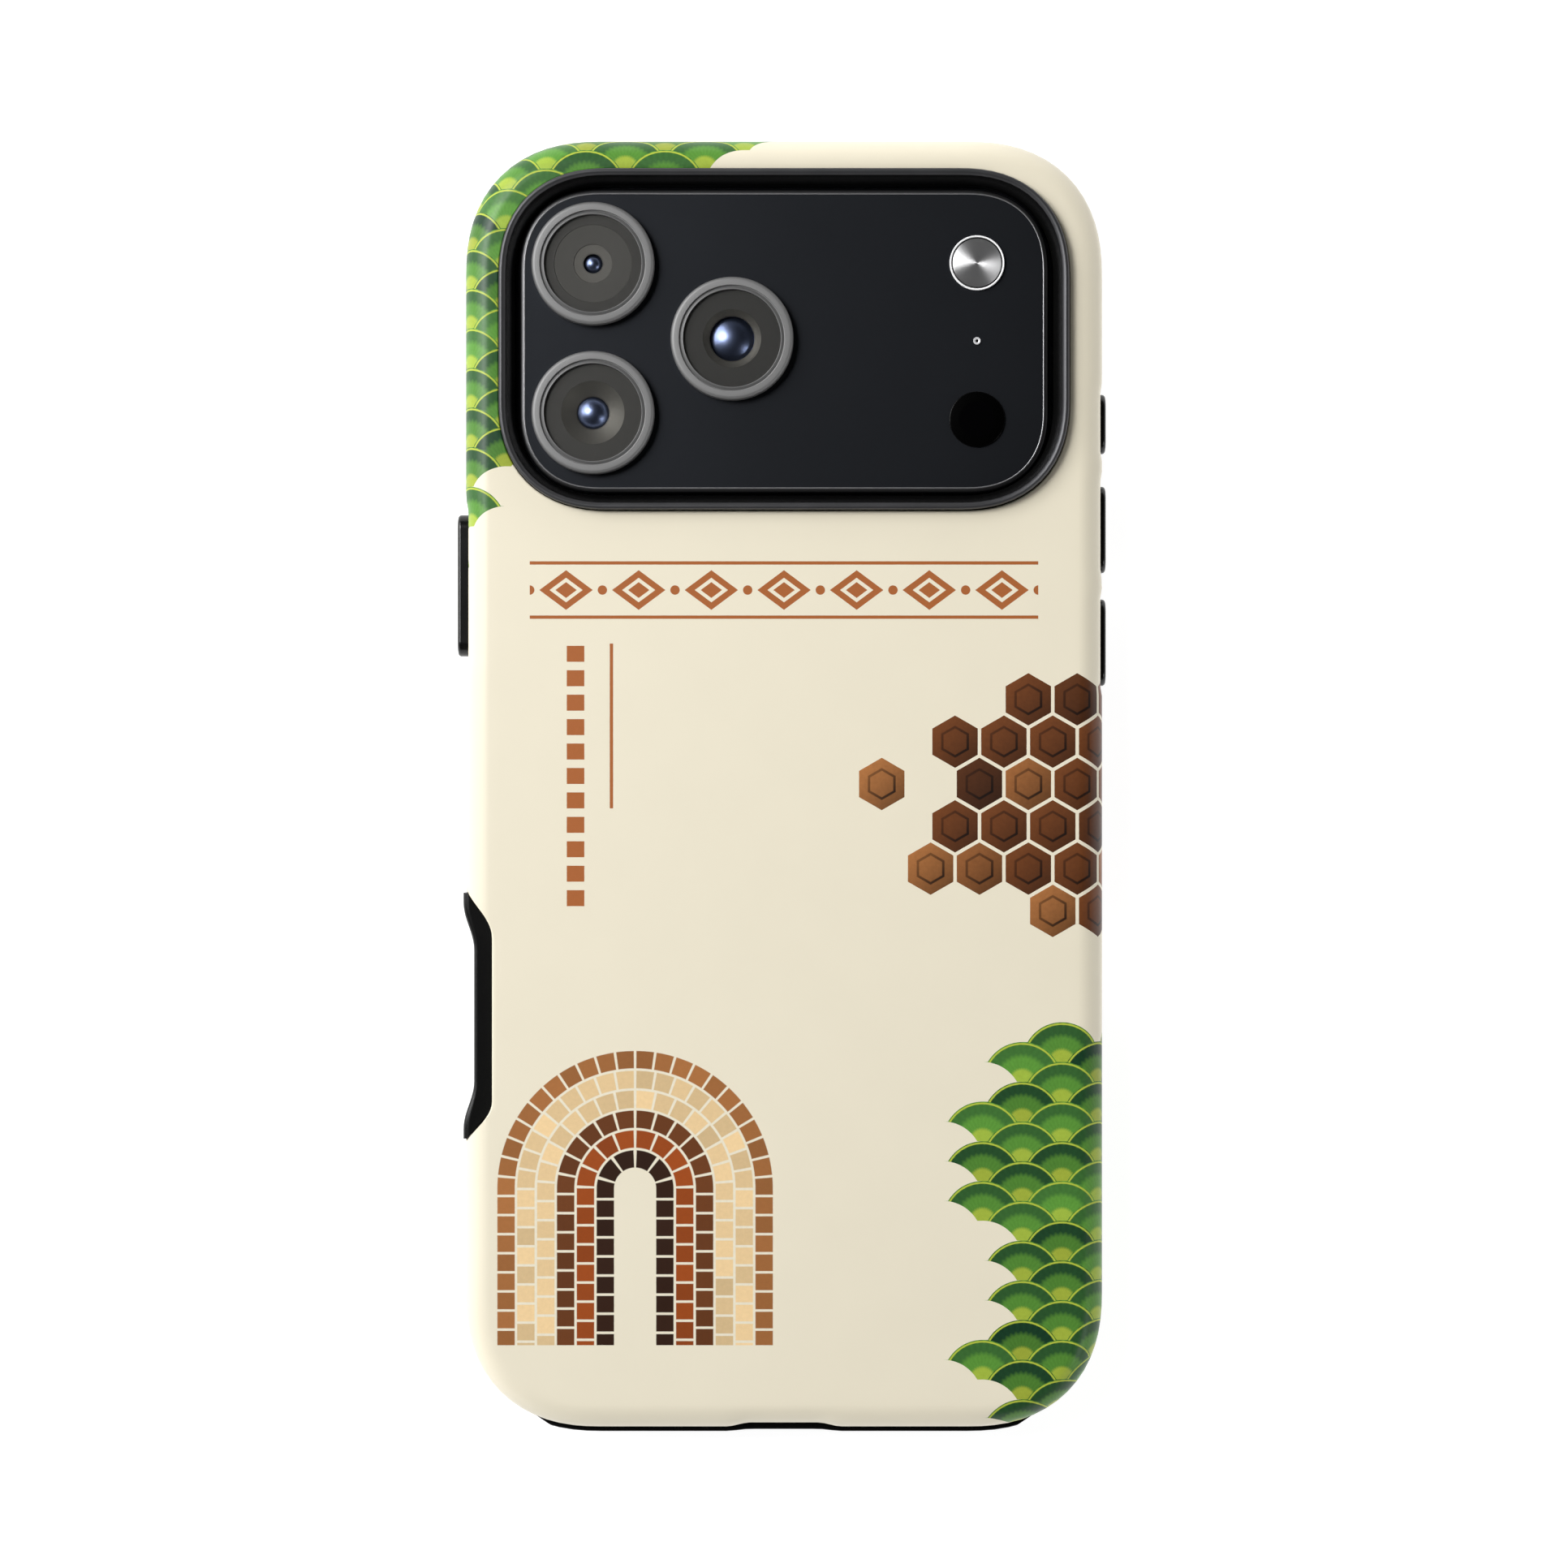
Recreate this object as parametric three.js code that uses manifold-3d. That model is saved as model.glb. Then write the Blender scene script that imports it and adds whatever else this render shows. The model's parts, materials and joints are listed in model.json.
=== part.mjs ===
// A smartphone held in a two-piece protective case, lying on its screen with its back up.
// A hard printed shell snaps over a black rubber liner. The liner wraps the phone, stands proud
// of the screen as a front rim and of the cameras as a bezel, and carries the button covers.
// Millimetres. +X right and +Y towards the cameras as seen from the back, +Z up out of the back.
// Z = 0 is the plane that the front rim rests on.
import * as THREE from 'three';
import { mergeVertices } from 'three/addons/utils/BufferGeometryUtils.js';
import Module from 'manifold-3d';

const wasm = await Module();
wasm.setup();

// Phone body and its screen
const phone = { halfX: 39.0, halfY: 81.7, corner: 12.7, low: 1.9, high: 9.75, lowEdge: 0.5, highEdge: 1.6 };
const screen = { inset: 0.3, low: 1.0, high: 1.7, edge: 0.3 };
const sideMiddle = 5.4;

// Camera plateau on the phone's back
const plateau = { y: 58.1, halfX: 34.75, halfY: 20.0, corner: 9.6, top: 12.05, fillet: 0.85 };

// Round camera parts, each standing a hair above the plateau
const seatGap = 0.1;
const ring = { outer: 8.05, inner: 6.75, height: 1.8, edge: 0.3, lip: 0.25, lipDepth: 0.35 };
const lensGlass = { radius: 6.5, height: 1.3, edge: 0.15 };
const lenses = [
  { name: 'top', place: [-25.0, 68.1] },
  { name: 'low', place: [-25.0, 48.6] },
  { name: 'side', place: [-6.8, 58.3] },
];
const flash = { place: [25.3, 68.3], radius: 3.6, rim: 0.25, height: 0.4, dish: 0.15 };
const microphone = { place: [25.3, 58.1], radius: 0.48, bore: 0.2, height: 0.15 };
const sensor = { place: [25.3, 47.8], radius: 3.65, height: 0.25, edge: 0.1 };

// Case walls, from the phone outwards
const fitGap = 0.2;
const linerWall = 1.3;
const linerBack = 1.2;
const shellWall = 1.2;
const shellBack = 1.4;
const shellFillet = 3.3;
const rim = { height: 2.0, edge: 0.4, overlap: 0.9, thickness: 0.85 };

// Camera opening in the shell, and the liner's bezel in it: a ridge round the opening, whose
// inner wall falls to a foot beside the plateau
const opening = { y: 58.18, halfX: 37.4, halfY: 22.4, corner: 12.8 };
const bezel = { top: 14.35, edge: 0.32, ridgeInset: 0.85, footInset: 2.05, footZ: 11.7 };

// Rubber covers over the side keys, and the shallow dishes in the shell around them
const cover = { height: 3.8, bevel: 0.45, windowGap: 0.4 };
const leftCovers = { side: -1, proud: 1.3, dish: 0.33, dishReach: 2.3, ramp: 2.4 };
const rightCovers = { side: 1, proud: 0.7, dish: 0.22, dishReach: 1.3, ramp: 1.1 };
const covers = [
  { ...leftCovers, y: 26.3, length: 18.8 },
  { ...rightCovers, y: 47.7, length: 7.9 },
  { ...rightCovers, y: 33.7, length: 11.5 },
  { ...rightCovers, y: 18.75, length: 11.5 },
];

// Finger scoop in the left side over the camera key. The shell is cut away, and the liner fills
// the cut with a pad that is proud at its ends and hollow between them
const scoop = {
  y: -30.45, halfLength: 16.35, startX: 41.6, deepX: 38.25,
  lean: 1.0, upperRun: 6.1, lowerRun: 5.2, earlyPull: 0.4, latePull: 0.75,
};
const pad = { endX: 42.15, middleX: 40.75, endRun: 1.45, rampRun: 6.3, rampPull: 2.3 };
const keySlot = { length: 18.4, height: 4.6 };
const cameraKey = { length: 16.8, height: 2.8, depth: 0.65, gap: 0.15 };

// Rubber bumper across the bottom end, with the port and two sound slots through it. Its ends are
// flush with the shell and slant out from there
const bumper = { halfX: 33.4, endY: 82.8, endRun: 8.6, proud: 0.8, high: 8.8 };
const port = { width: 13.6, height: 5.0, corner: 1.6 };
const portDish = { outerX: 7.65, innerX: 4.4, shellDepth: 0.53, linerDepth: 0.27 };
const soundSlot = { length: 12.5, height: 2.6, x: 19.5 };
const socket = { width: 9.0, height: 3.2, depth: 6.5 };
const tongue = { width: 6.6, height: 0.7, depth: 4.8 };

// Facets: steps along a corner, round a large edge, round the lenses and round what is small
const cornerSteps = 9;
const edgeSteps = 5;
const roundSteps = 36;
const smallSteps = 6;
const bevelSteps = 3;

// A corner of continuous curvature starts further along the side than a plain arc would
const cornerReach = 1.135;
const cornerPull = 0.6455;

// Sizes that follow from the walls
const grown = (box, by) => ({ halfX: box.halfX + by, halfY: box.halfY + by, corner: box.corner + by });
const cavity = grown(phone, fitGap);
const liner = grown(cavity, linerWall);
const shellInside = grown(liner, fitGap);
const shell = grown(shellInside, shellWall);
const linerTop = phone.high + fitGap + linerBack;
const shellLow = rim.height + fitGap;
const shellInsideTop = linerTop + fitGap;
const shellTop = shellInsideTop + shellBack;
const partBase = plateau.top + seatGap;

// How far a cut runs on past the face that it opens
const beyond = 4;

// Plan or side outline of a rounded rectangle
function roundedOutline({ halfX, halfY, corner }, centreX = 0, centreY = 0) {
  const reach = corner * cornerReach;
  const held = reach * (1 - cornerPull);
  const shape = new THREE.Shape();
  [[1, 1], [-1, 1], [-1, -1], [1, -1]].forEach(([sideX, sideY], index) => {
    const x = centreX + sideX * halfX;
    const y = centreY + sideY * halfY;
    const onSide = [[x, y - sideY * reach], [x, y - sideY * held]];
    const onEnd = [[x - sideX * reach, y], [x - sideX * held, y]];
    const [from, to] = sideX * sideY > 0 ? [onSide, onEnd] : [onEnd, onSide];
    if (index === 0) shape.moveTo(...from[0]);
    else shape.lineTo(...from[0]);
    shape.bezierCurveTo(...from[1], ...to[1], ...to[0]);
  });
  return shape;
}

// Outline of a slot with round ends, its length along the first axis
function pillOutline(length, height, centreX, centreY) {
  const radius = height / 2;
  const straight = length / 2 - radius;
  const shape = new THREE.Shape();
  shape.absarc(centreX + straight, centreY, radius, -Math.PI / 2, Math.PI / 2, false);
  shape.absarc(centreX - straight, centreY, radius, Math.PI / 2, (3 * Math.PI) / 2, false);
  return shape;
}

// Closed solid through outlines with one point count, stacked in Z, with a flat cap at each end
function loft(levels) {
  const rows = levels.map(({ shape, z }) => shape.getPoints(cornerSteps).map((p) => [p.x, p.y, z]));
  const count = rows[0].length;
  const last = (rows.length - 1) * count;
  const middle = (row) => [0, 1, 2].map((axis) => row.reduce((sum, p) => sum + p[axis], 0) / count);
  const vertices = [...rows.flat(), middle(rows[0]), middle(rows[rows.length - 1])];
  const lowMiddle = last + count;
  const faces = [];
  for (let i = 0; i < count; i += 1) {
    const next = (i + 1) % count;
    for (let base = 0; base < last; base += count) {
      faces.push(base + i, base + next, base + count + next);
      faces.push(base + i, base + count + next, base + count + i);
    }
    faces.push(next, i, lowMiddle);
    faces.push(last + i, last + next, lowMiddle + 1);
  }
  const geometry = new THREE.BufferGeometry();
  geometry.setAttribute('position', new THREE.Float32BufferAttribute(vertices.flat(), 3));
  geometry.setIndex(faces);
  return geometry;
}

// Quarter round in steps: how far the outline draws in and how far the height moves
function quarterRound(radius) {
  if (radius === 0) return [{ inset: 0, drop: 0 }];
  const steps = Math.max(2, Math.round(edgeSteps * Math.sqrt(radius / shellFillet)));
  return Array.from({ length: steps + 1 }, (_, i) => {
    const angle = (i / steps) * (Math.PI / 2);
    return { inset: radius * (1 - Math.cos(angle)), drop: radius * (1 - Math.sin(angle)) };
  });
}

// Rounded slab whose lower and upper edges may be rounded too
function slab(box, { low, high, lowEdge = 0, highEdge = 0, y = 0 }) {
  const level = (inset, z) => ({ shape: roundedOutline(grown(box, -inset), 0, y), z });
  return loft([
    ...quarterRound(lowEdge).reverse().map(({ inset, drop }) => level(inset, low + drop)),
    ...quarterRound(highEdge).map(({ inset, drop }) => level(inset, high - drop)),
  ]);
}

// Straight extrusion of a plan outline between two heights
function risen(shape, low, high, steps = smallSteps) {
  const settings = { depth: high - low, bevelEnabled: false, curveSegments: steps };
  return new THREE.ExtrudeGeometry(shape, settings).translate(0, 0, low);
}

// Extrusion along +X of an outline drawn in Y and Z, with both end edges rounded by the bevel
function alongX(shape, start, length, bevel = 0) {
  const settings = {
    depth: length - 2 * bevel, bevelEnabled: bevel > 0, bevelThickness: bevel, bevelSize: bevel,
    bevelOffset: -bevel, bevelSegments: bevelSteps, curveSegments: smallSteps,
  };
  const turn = new THREE.Matrix4().makeBasis(
    new THREE.Vector3(0, 1, 0), new THREE.Vector3(0, 0, 1), new THREE.Vector3(1, 0, 0),
  );
  return new THREE.ExtrudeGeometry(shape, settings).applyMatrix4(turn).translate(start + bevel, 0, 0);
}

// Extrusion along -Y of an outline drawn in X and Z
function alongMinusY(shape, start, length) {
  const settings = { depth: length, bevelEnabled: false, curveSegments: smallSteps };
  const turn = new THREE.Matrix4().makeBasis(
    new THREE.Vector3(1, 0, 0), new THREE.Vector3(0, 0, 1), new THREE.Vector3(0, -1, 0),
  );
  return new THREE.ExtrudeGeometry(shape, settings).applyMatrix4(turn).translate(0, start, 0);
}

// Round part from a profile of radius and height, standing on the plateau
function turned(profile, [x, y], steps = roundSteps) {
  const points = profile.map(([radius, height]) => new THREE.Vector2(radius, height));
  return new THREE.LatheGeometry(points, steps).rotateX(Math.PI / 2).translate(x, y, partBase);
}

function solid(geometry) {
  geometry.deleteAttribute('normal');
  geometry.deleteAttribute('uv');
  const merged = mergeVertices(geometry);
  const corners = merged.index.array;
  const triangles = [];
  for (let i = 0; i < corners.length; i += 3) {
    const [a, b, c] = [corners[i], corners[i + 1], corners[i + 2]];
    if (a !== b && b !== c && c !== a) triangles.push(a, b, c);
  }
  return new wasm.Manifold(new wasm.Mesh({
    numProp: 3,
    vertProperties: new Float32Array(merged.attributes.position.array),
    triVerts: new Uint32Array(triangles),
  }));
}

const joined = (...geometries) => geometries.map(solid).reduce((whole, piece) => whole.add(piece));
const without = (body, ...cuts) => cuts.map(solid).reduce((rest, cut) => rest.subtract(cut), body);

function geometryOf(manifold) {
  const { vertProperties, triVerts } = manifold.getMesh();
  const geometry = new THREE.BufferGeometry();
  geometry.setAttribute('position', new THREE.Float32BufferAttribute(vertProperties, 3));
  geometry.setIndex([...triVerts]);
  geometry.computeVertexNormals();
  return geometry;
}

function coverPad({ side, y, length, proud }) {
  const depth = shell.halfX + proud - cavity.halfX;
  const start = side > 0 ? cavity.halfX : -cavity.halfX - depth;
  return alongX(pillOutline(length, cover.height, y, sideMiddle), start, depth, cover.bevel);
}

function coverWindow({ side, y, length }) {
  const clearance = 2 * cover.windowGap;
  const outline = pillOutline(length + clearance, cover.height + clearance, y, sideMiddle);
  const depth = shell.halfX + beyond - cavity.halfX;
  return alongX(outline, side > 0 ? cavity.halfX : -cavity.halfX - depth, depth);
}

// The shell's side steps in over a soft ramp at each end of a cover
function coverDish({ side, y, length, dish, dishReach, ramp }) {
  const half = length / 2 + dishReach;
  const face = shell.halfX;
  const at = (x, along) => [side * x, y + along];
  const shape = new THREE.Shape();
  shape.moveTo(...at(face + beyond, half));
  shape.lineTo(...at(face, half));
  shape.bezierCurveTo(
    ...at(face, half - ramp / 2), ...at(face - dish, half - ramp / 2), ...at(face - dish, half - ramp),
  );
  shape.lineTo(...at(face - dish, ramp - half));
  shape.bezierCurveTo(
    ...at(face - dish, ramp / 2 - half), ...at(face, ramp / 2 - half), ...at(face, -half),
  );
  shape.lineTo(...at(face + beyond, -half));
  return risen(shape, 0, shellTop + beyond);
}

// Trapezoid dish across the bottom end at the port, cut back from a face
function portDishCut(face, depth) {
  const shape = new THREE.Shape();
  shape.moveTo(-portDish.outerX, -face - beyond);
  shape.lineTo(portDish.outerX, -face - beyond);
  shape.lineTo(portDish.outerX, -face);
  shape.lineTo(portDish.innerX, depth - face);
  shape.lineTo(-portDish.innerX, depth - face);
  shape.lineTo(-portDish.outerX, -face);
  return risen(shape, -beyond, shellTop + beyond);
}

// Edge of the finger scoop from above, drawn in by a clearance for the pad that fills it
function scoopPlan(clearance) {
  const upper = scoop.y + scoop.halfLength - clearance;
  const lower = scoop.y - scoop.halfLength + clearance;
  const deep = -scoop.deepX - clearance;
  const start = -scoop.startX;
  const soft = start + scoop.lean;
  const { upperRun, lowerRun, earlyPull, latePull } = scoop;
  const shape = new THREE.Shape();
  shape.moveTo(-shell.halfX - beyond, upper);
  shape.lineTo(-shell.halfX - beyond, lower);
  shape.lineTo(start, lower);
  shape.bezierCurveTo(
    soft, lower + earlyPull * lowerRun, deep, lower + latePull * lowerRun, deep, lower + lowerRun,
  );
  shape.lineTo(deep, upper - upperRun);
  shape.bezierCurveTo(
    deep, upper - latePull * upperRun, soft, upper - earlyPull * upperRun, start, upper,
  );
  return shape;
}

// What the hollow takes off the pad and the rim below it: the outer face is proud at the ends of
// the scoop and ramps in to a flat middle
function scoopHollow() {
  const { endX, middleX, rampPull } = pad;
  const far = shell.halfX + beyond;
  const end = scoop.halfLength;
  const rampOut = end - pad.endRun;
  const rampIn = rampOut - pad.rampRun;
  const at = (x, along) => [-x, scoop.y + along];
  const shape = new THREE.Shape();
  shape.moveTo(...at(far, -end));
  shape.lineTo(...at(endX, -end));
  shape.lineTo(...at(endX, -rampOut));
  shape.bezierCurveTo(
    ...at(endX, rampPull - rampOut), ...at(middleX, -rampIn - rampPull), ...at(middleX, -rampIn),
  );
  shape.lineTo(...at(middleX, rampIn));
  shape.bezierCurveTo(
    ...at(middleX, rampIn + rampPull), ...at(endX, rampOut - rampPull), ...at(endX, rampOut),
  );
  shape.lineTo(...at(endX, end));
  shape.lineTo(...at(far, end));
  return risen(shape, -beyond, linerTop + beyond);
}

// The bumper: an outline a little outside the shell's, kept to the middle of the bottom end
function bottomBumper() {
  const strip = new THREE.Shape();
  const inner = liner.corner - liner.halfY;
  strip.moveTo(-bumper.halfX, inner);
  strip.lineTo(-bumper.halfX, -bumper.endY);
  strip.lineTo(-bumper.halfX + bumper.endRun, -shell.halfY - beyond);
  strip.lineTo(bumper.halfX - bumper.endRun, -shell.halfY - beyond);
  strip.lineTo(bumper.halfX, -bumper.endY);
  strip.lineTo(bumper.halfX, inner);
  const outside = slab(grown(shell, bumper.proud), { low: 0, high: bumper.high, lowEdge: rim.edge });
  const inStrip = solid(outside).intersect(solid(risen(strip, 0, bumper.high)));
  return without(inStrip, portDishCut(shell.halfY + bumper.proud, portDish.linerDepth));
}

// Space inside the bezel: straight beside the plateau, then flaring up to the ridge
function bezelThroat() {
  const level = (inset, z) => ({ shape: roundedOutline(grown(opening, -inset), 0, opening.y), z });
  const slope = (bezel.footInset - bezel.ridgeInset) / (bezel.top - bezel.footZ);
  return loft([
    level(bezel.footInset, phone.high),
    level(bezel.footInset, bezel.footZ),
    level(bezel.ridgeInset, bezel.top),
    level(bezel.ridgeInset - slope * beyond, bezel.top + beyond),
  ]);
}

function throughBottom(outline) {
  return alongMinusY(outline, -phone.halfY, shell.halfY + beyond - phone.halfY);
}

function linerGeometry() {
  const wrap = slab(liner, { low: 0, high: linerTop, highEdge: shellFillet - shellWall - fitGap });
  const frontRim = slab(shell, { low: 0, high: rim.height, lowEdge: rim.edge });
  const bezelRing = slab(grown(opening, -fitGap), {
    low: linerTop - linerBack / 2, high: bezel.top, highEdge: bezel.edge, y: opening.y,
  });
  const scoopPad = risen(scoopPlan(fitGap), 0, linerTop);
  const body = joined(wrap, frontRim, bezelRing, scoopPad, ...covers.map(coverPad)).add(bottomBumper());
  const phoneSpace = slab(cavity, {
    low: rim.thickness, high: phone.high + fitGap, lowEdge: rim.edge, highEdge: phone.highEdge,
  });
  const frontOpening = slab(grown(phone, -rim.overlap), { low: -beyond, high: rim.height });
  const slotStart = -shell.halfX - beyond;
  const slotOutline = pillOutline(keySlot.length, keySlot.height, scoop.y, sideMiddle);
  const portBox = { halfX: port.width / 2, halfY: port.height / 2, corner: port.corner };
  return geometryOf(without(
    body,
    phoneSpace,
    frontOpening,
    bezelThroat(),
    scoopHollow(),
    alongX(slotOutline, slotStart, -phone.halfX - slotStart),
    throughBottom(roundedOutline(portBox, 0, sideMiddle)),
    throughBottom(pillOutline(soundSlot.length, soundSlot.height, -soundSlot.x, sideMiddle)),
    throughBottom(pillOutline(soundSlot.length, soundSlot.height, soundSlot.x, sideMiddle)),
  ));
}

function shellGeometry() {
  const outside = slab(shell, { low: shellLow, high: shellTop, highEdge: shellFillet });
  const inside = slab(shellInside, { low: 0, high: shellInsideTop, highEdge: shellFillet - shellWall });
  const notch = grown({ halfX: bumper.halfX, halfY: bumper.high, corner: rim.edge - fitGap }, fitGap);
  const notchStart = liner.corner - liner.halfY;
  return geometryOf(without(
    solid(outside),
    inside,
    slab(opening, { low: linerTop, high: shellTop + beyond, y: opening.y }),
    risen(scoopPlan(0), 0, shellTop + beyond),
    alongMinusY(roundedOutline(notch), notchStart, shell.halfY + beyond + notchStart),
    portDishCut(shell.halfY, portDish.shellDepth),
    ...covers.map(coverWindow),
    ...covers.map(coverDish),
  ));
}

function phoneGeometry() {
  const { low, high, lowEdge, highEdge } = phone;
  const block = slab(phone, { low, high, lowEdge, highEdge });
  const raised = slab(plateau, {
    low: high - highEdge, high: plateau.top, highEdge: plateau.fillet, y: plateau.y,
  });
  const socketOutline = pillOutline(socket.width, socket.height, 0, sideMiddle);
  const { length, height, depth, gap } = cameraKey;
  const keyOutline = pillOutline(length + 2 * gap, height + 2 * gap, scoop.y, sideMiddle);
  return geometryOf(without(
    joined(block, raised),
    alongMinusY(socketOutline, socket.depth - phone.halfY, socket.depth + beyond),
    alongX(keyOutline, -phone.halfX - beyond, depth + gap + beyond),
  ));
}

function screenGeometry() {
  return slab(grown(phone, -screen.inset), { low: screen.low, high: screen.high, lowEdge: screen.edge });
}

function ringGeometry(place) {
  const { outer, inner, height, edge, lip, lipDepth } = ring;
  const outerEdge = quarterRound(edge).map(({ inset, drop }) => [outer - inset, height - drop]);
  return turned([
    [inner, 0], [outer, 0], ...outerEdge, [inner + lip, height], [inner, height - lipDepth], [inner, 0],
  ], place);
}

function lensGlassGeometry(place) {
  const { radius, height, edge } = lensGlass;
  return turned([[0, 0], [radius, 0], [radius, height - edge], [radius - edge, height], [0, height]], place);
}

function flashGeometry() {
  const { radius, rim: width, height, dish, place } = flash;
  return turned([
    [0, 0], [radius, 0], [radius, height], [radius - width, height], [radius - width, height - dish],
    [0, height - dish],
  ], place);
}

function sensorGeometry() {
  const { radius, height, edge, place } = sensor;
  return turned([[0, 0], [radius, 0], [radius, height - edge], [radius - edge, height], [0, height]], place);
}

function microphoneGeometry() {
  const { radius, bore, height, place } = microphone;
  return turned([[bore, 0], [radius, 0], [radius, height], [bore, height], [bore, 0]], place, 2 * smallSteps);
}

function cameraKeyGeometry() {
  const { length, height, depth } = cameraKey;
  return alongX(pillOutline(length, height, scoop.y, sideMiddle), -phone.halfX, depth);
}

function tongueGeometry() {
  const y = socket.depth - fitGap - tongue.depth / 2 - phone.halfY;
  return new THREE.BoxGeometry(tongue.width, tongue.depth, tongue.height).translate(0, y, sideMiddle);
}

// Finishes
const finish = (color, roughness, metalness) => (
  new THREE.MeshStandardMaterial({ color, roughness, metalness })
);
const creamPlastic = finish(0xebe3cd, 0.35, 0);
const blackRubber = finish(0x17181a, 0.6, 0);
const darkAluminium = finish(0x26282c, 0.45, 0.8);
const screenGlass = finish(0x050608, 0.05, 0);
const greyAluminium = finish(0x8a8a8a, 0.35, 1);
const smokedGlass = finish(0x3b3a36, 0.08, 0);
const flashMetal = finish(0xb8b8b8, 0.3, 1);
const blackGlass = finish(0x020202, 0.1, 0);
const steel = finish(0xc8c8c8, 0.3, 1);
const blackPlastic = finish(0x101112, 0.5, 0);

const part = new THREE.Group();
const cased = new THREE.Group();

function place(name, geometry, material) {
  const mesh = new THREE.Mesh(geometry, material);
  mesh.name = name;
  cased.add(mesh);
}

place('shell', shellGeometry(), creamPlastic);
place('liner', linerGeometry(), blackRubber);
place('phone_body', phoneGeometry(), darkAluminium);
place('screen', screenGeometry(), screenGlass);
lenses.forEach((lens) => {
  place(`lens_ring_${lens.name}`, ringGeometry(lens.place), greyAluminium);
  place(`lens_glass_${lens.name}`, lensGlassGeometry(lens.place), smokedGlass);
});
place('flash', flashGeometry(), flashMetal);
place('microphone', microphoneGeometry(), steel);
place('depth_sensor', sensorGeometry(), blackGlass);
place('camera_key', cameraKeyGeometry(), darkAluminium);
place('port_tongue', tongueGeometry(), blackPlastic);

// The origin is under the middle of the whole outline: the covers on the two sides stand out by
// different amounts, and the bumper lengthens the bottom end only
cased.position.set((leftCovers.proud - rightCovers.proud) / 2, bumper.proud / 2, 0);
part.add(cased);

export default part;
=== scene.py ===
"""A smartphone in a printed two-piece case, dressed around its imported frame.

The phone lies on its screen. A hard printed shell snaps over a black rubber liner, which shows as
the camera bezel, the key covers, the pad in the finger scoop and the bumper at the bottom end.
Shapes are drawn in millimetres round the middle of the shell, with +X right and +Y towards the
cameras as seen from the back, and piece() sets them down in the frame's metres.
"""

import json
import math
from types import SimpleNamespace

import bmesh
import bpy
from bpy.props import FloatProperty, FloatVectorProperty, PointerProperty
from mathutils import Matrix, Vector
from mathutils.geometry import interpolate_bezier

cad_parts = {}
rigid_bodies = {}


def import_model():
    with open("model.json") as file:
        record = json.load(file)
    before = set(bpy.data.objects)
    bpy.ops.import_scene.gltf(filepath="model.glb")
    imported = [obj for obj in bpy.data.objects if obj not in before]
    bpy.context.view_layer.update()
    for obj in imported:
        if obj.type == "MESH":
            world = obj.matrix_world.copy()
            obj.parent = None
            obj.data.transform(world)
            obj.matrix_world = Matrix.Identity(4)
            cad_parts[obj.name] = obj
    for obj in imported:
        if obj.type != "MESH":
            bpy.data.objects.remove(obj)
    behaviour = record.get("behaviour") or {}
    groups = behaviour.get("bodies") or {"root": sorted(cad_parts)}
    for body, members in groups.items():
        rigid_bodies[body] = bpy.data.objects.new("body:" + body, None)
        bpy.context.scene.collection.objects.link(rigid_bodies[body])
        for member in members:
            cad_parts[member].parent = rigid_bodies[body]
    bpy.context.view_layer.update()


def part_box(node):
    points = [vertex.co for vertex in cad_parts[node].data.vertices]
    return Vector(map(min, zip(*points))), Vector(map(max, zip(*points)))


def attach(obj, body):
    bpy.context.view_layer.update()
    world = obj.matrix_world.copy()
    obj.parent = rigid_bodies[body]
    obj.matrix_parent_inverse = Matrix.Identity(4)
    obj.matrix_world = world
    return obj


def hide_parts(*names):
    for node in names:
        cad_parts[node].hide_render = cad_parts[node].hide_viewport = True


bl_info = {
    "name": "Cased Phone",
    "version": (1, 0, 0),
    "blender": (4, 5, 0),
    "location": "View3D > Sidebar > Cased Phone",
    "description": "Builds a smartphone in a printed two-piece case around its packed frame",
    "category": "Add Mesh",
}

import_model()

# Metres in a millimetre, how near points are joined, and how far a cutter reaches past a piece
MM = 0.001
NEAR = 0.001
BEYOND = 4.0


def packed(node):
    """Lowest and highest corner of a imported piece, in millimetres."""
    return [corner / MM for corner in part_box(node)]


shell_low, shell_high = packed("shell")
MIDDLE = Vector(((shell_low.x + shell_high.x) / 2, (shell_low.y + shell_high.y) / 2, 0.0))


def extent(node):
    """Half the width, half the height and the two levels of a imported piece."""
    low, high = packed(node)
    return (high.x - low.x) / 2, (high.y - low.y) / 2, low.z, high.z


def round_place(node):
    """Middle, radius and the two levels of a packed round piece."""
    low, high = packed(node)
    middle = (low + high) / 2 - MIDDLE
    return (middle.x, middle.y), (high.x - low.x) / 2, low.z, high.z


SHELL_X, SHELL_Y, SHELL_LOW, SHELL_TOP = extent("shell")
PHONE_X, PHONE_Y, PHONE_LOW, PLATEAU_TOP = extent("phone_body")
SCREEN_X, SCREEN_Y, SCREEN_LOW, SCREEN_TOP = extent("screen")
BEZEL_TOP = packed("liner")[1].z
LENSES = ("top", "low", "side")

# A corner without a break in curvature starts further along the side than an arc would, and
# its bevel is a little fuller than round
CORNER_REACH = 1.135
FULL_PROFILE = 0.5507
ROUND_PROFILE = 0.5
CORNER_STEPS = 16
ROUND_STEPS = 96
LENS_STEPS = 12

# Angle from which an edge is shaded as a sharp one
SHARP = math.radians(40)

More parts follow.
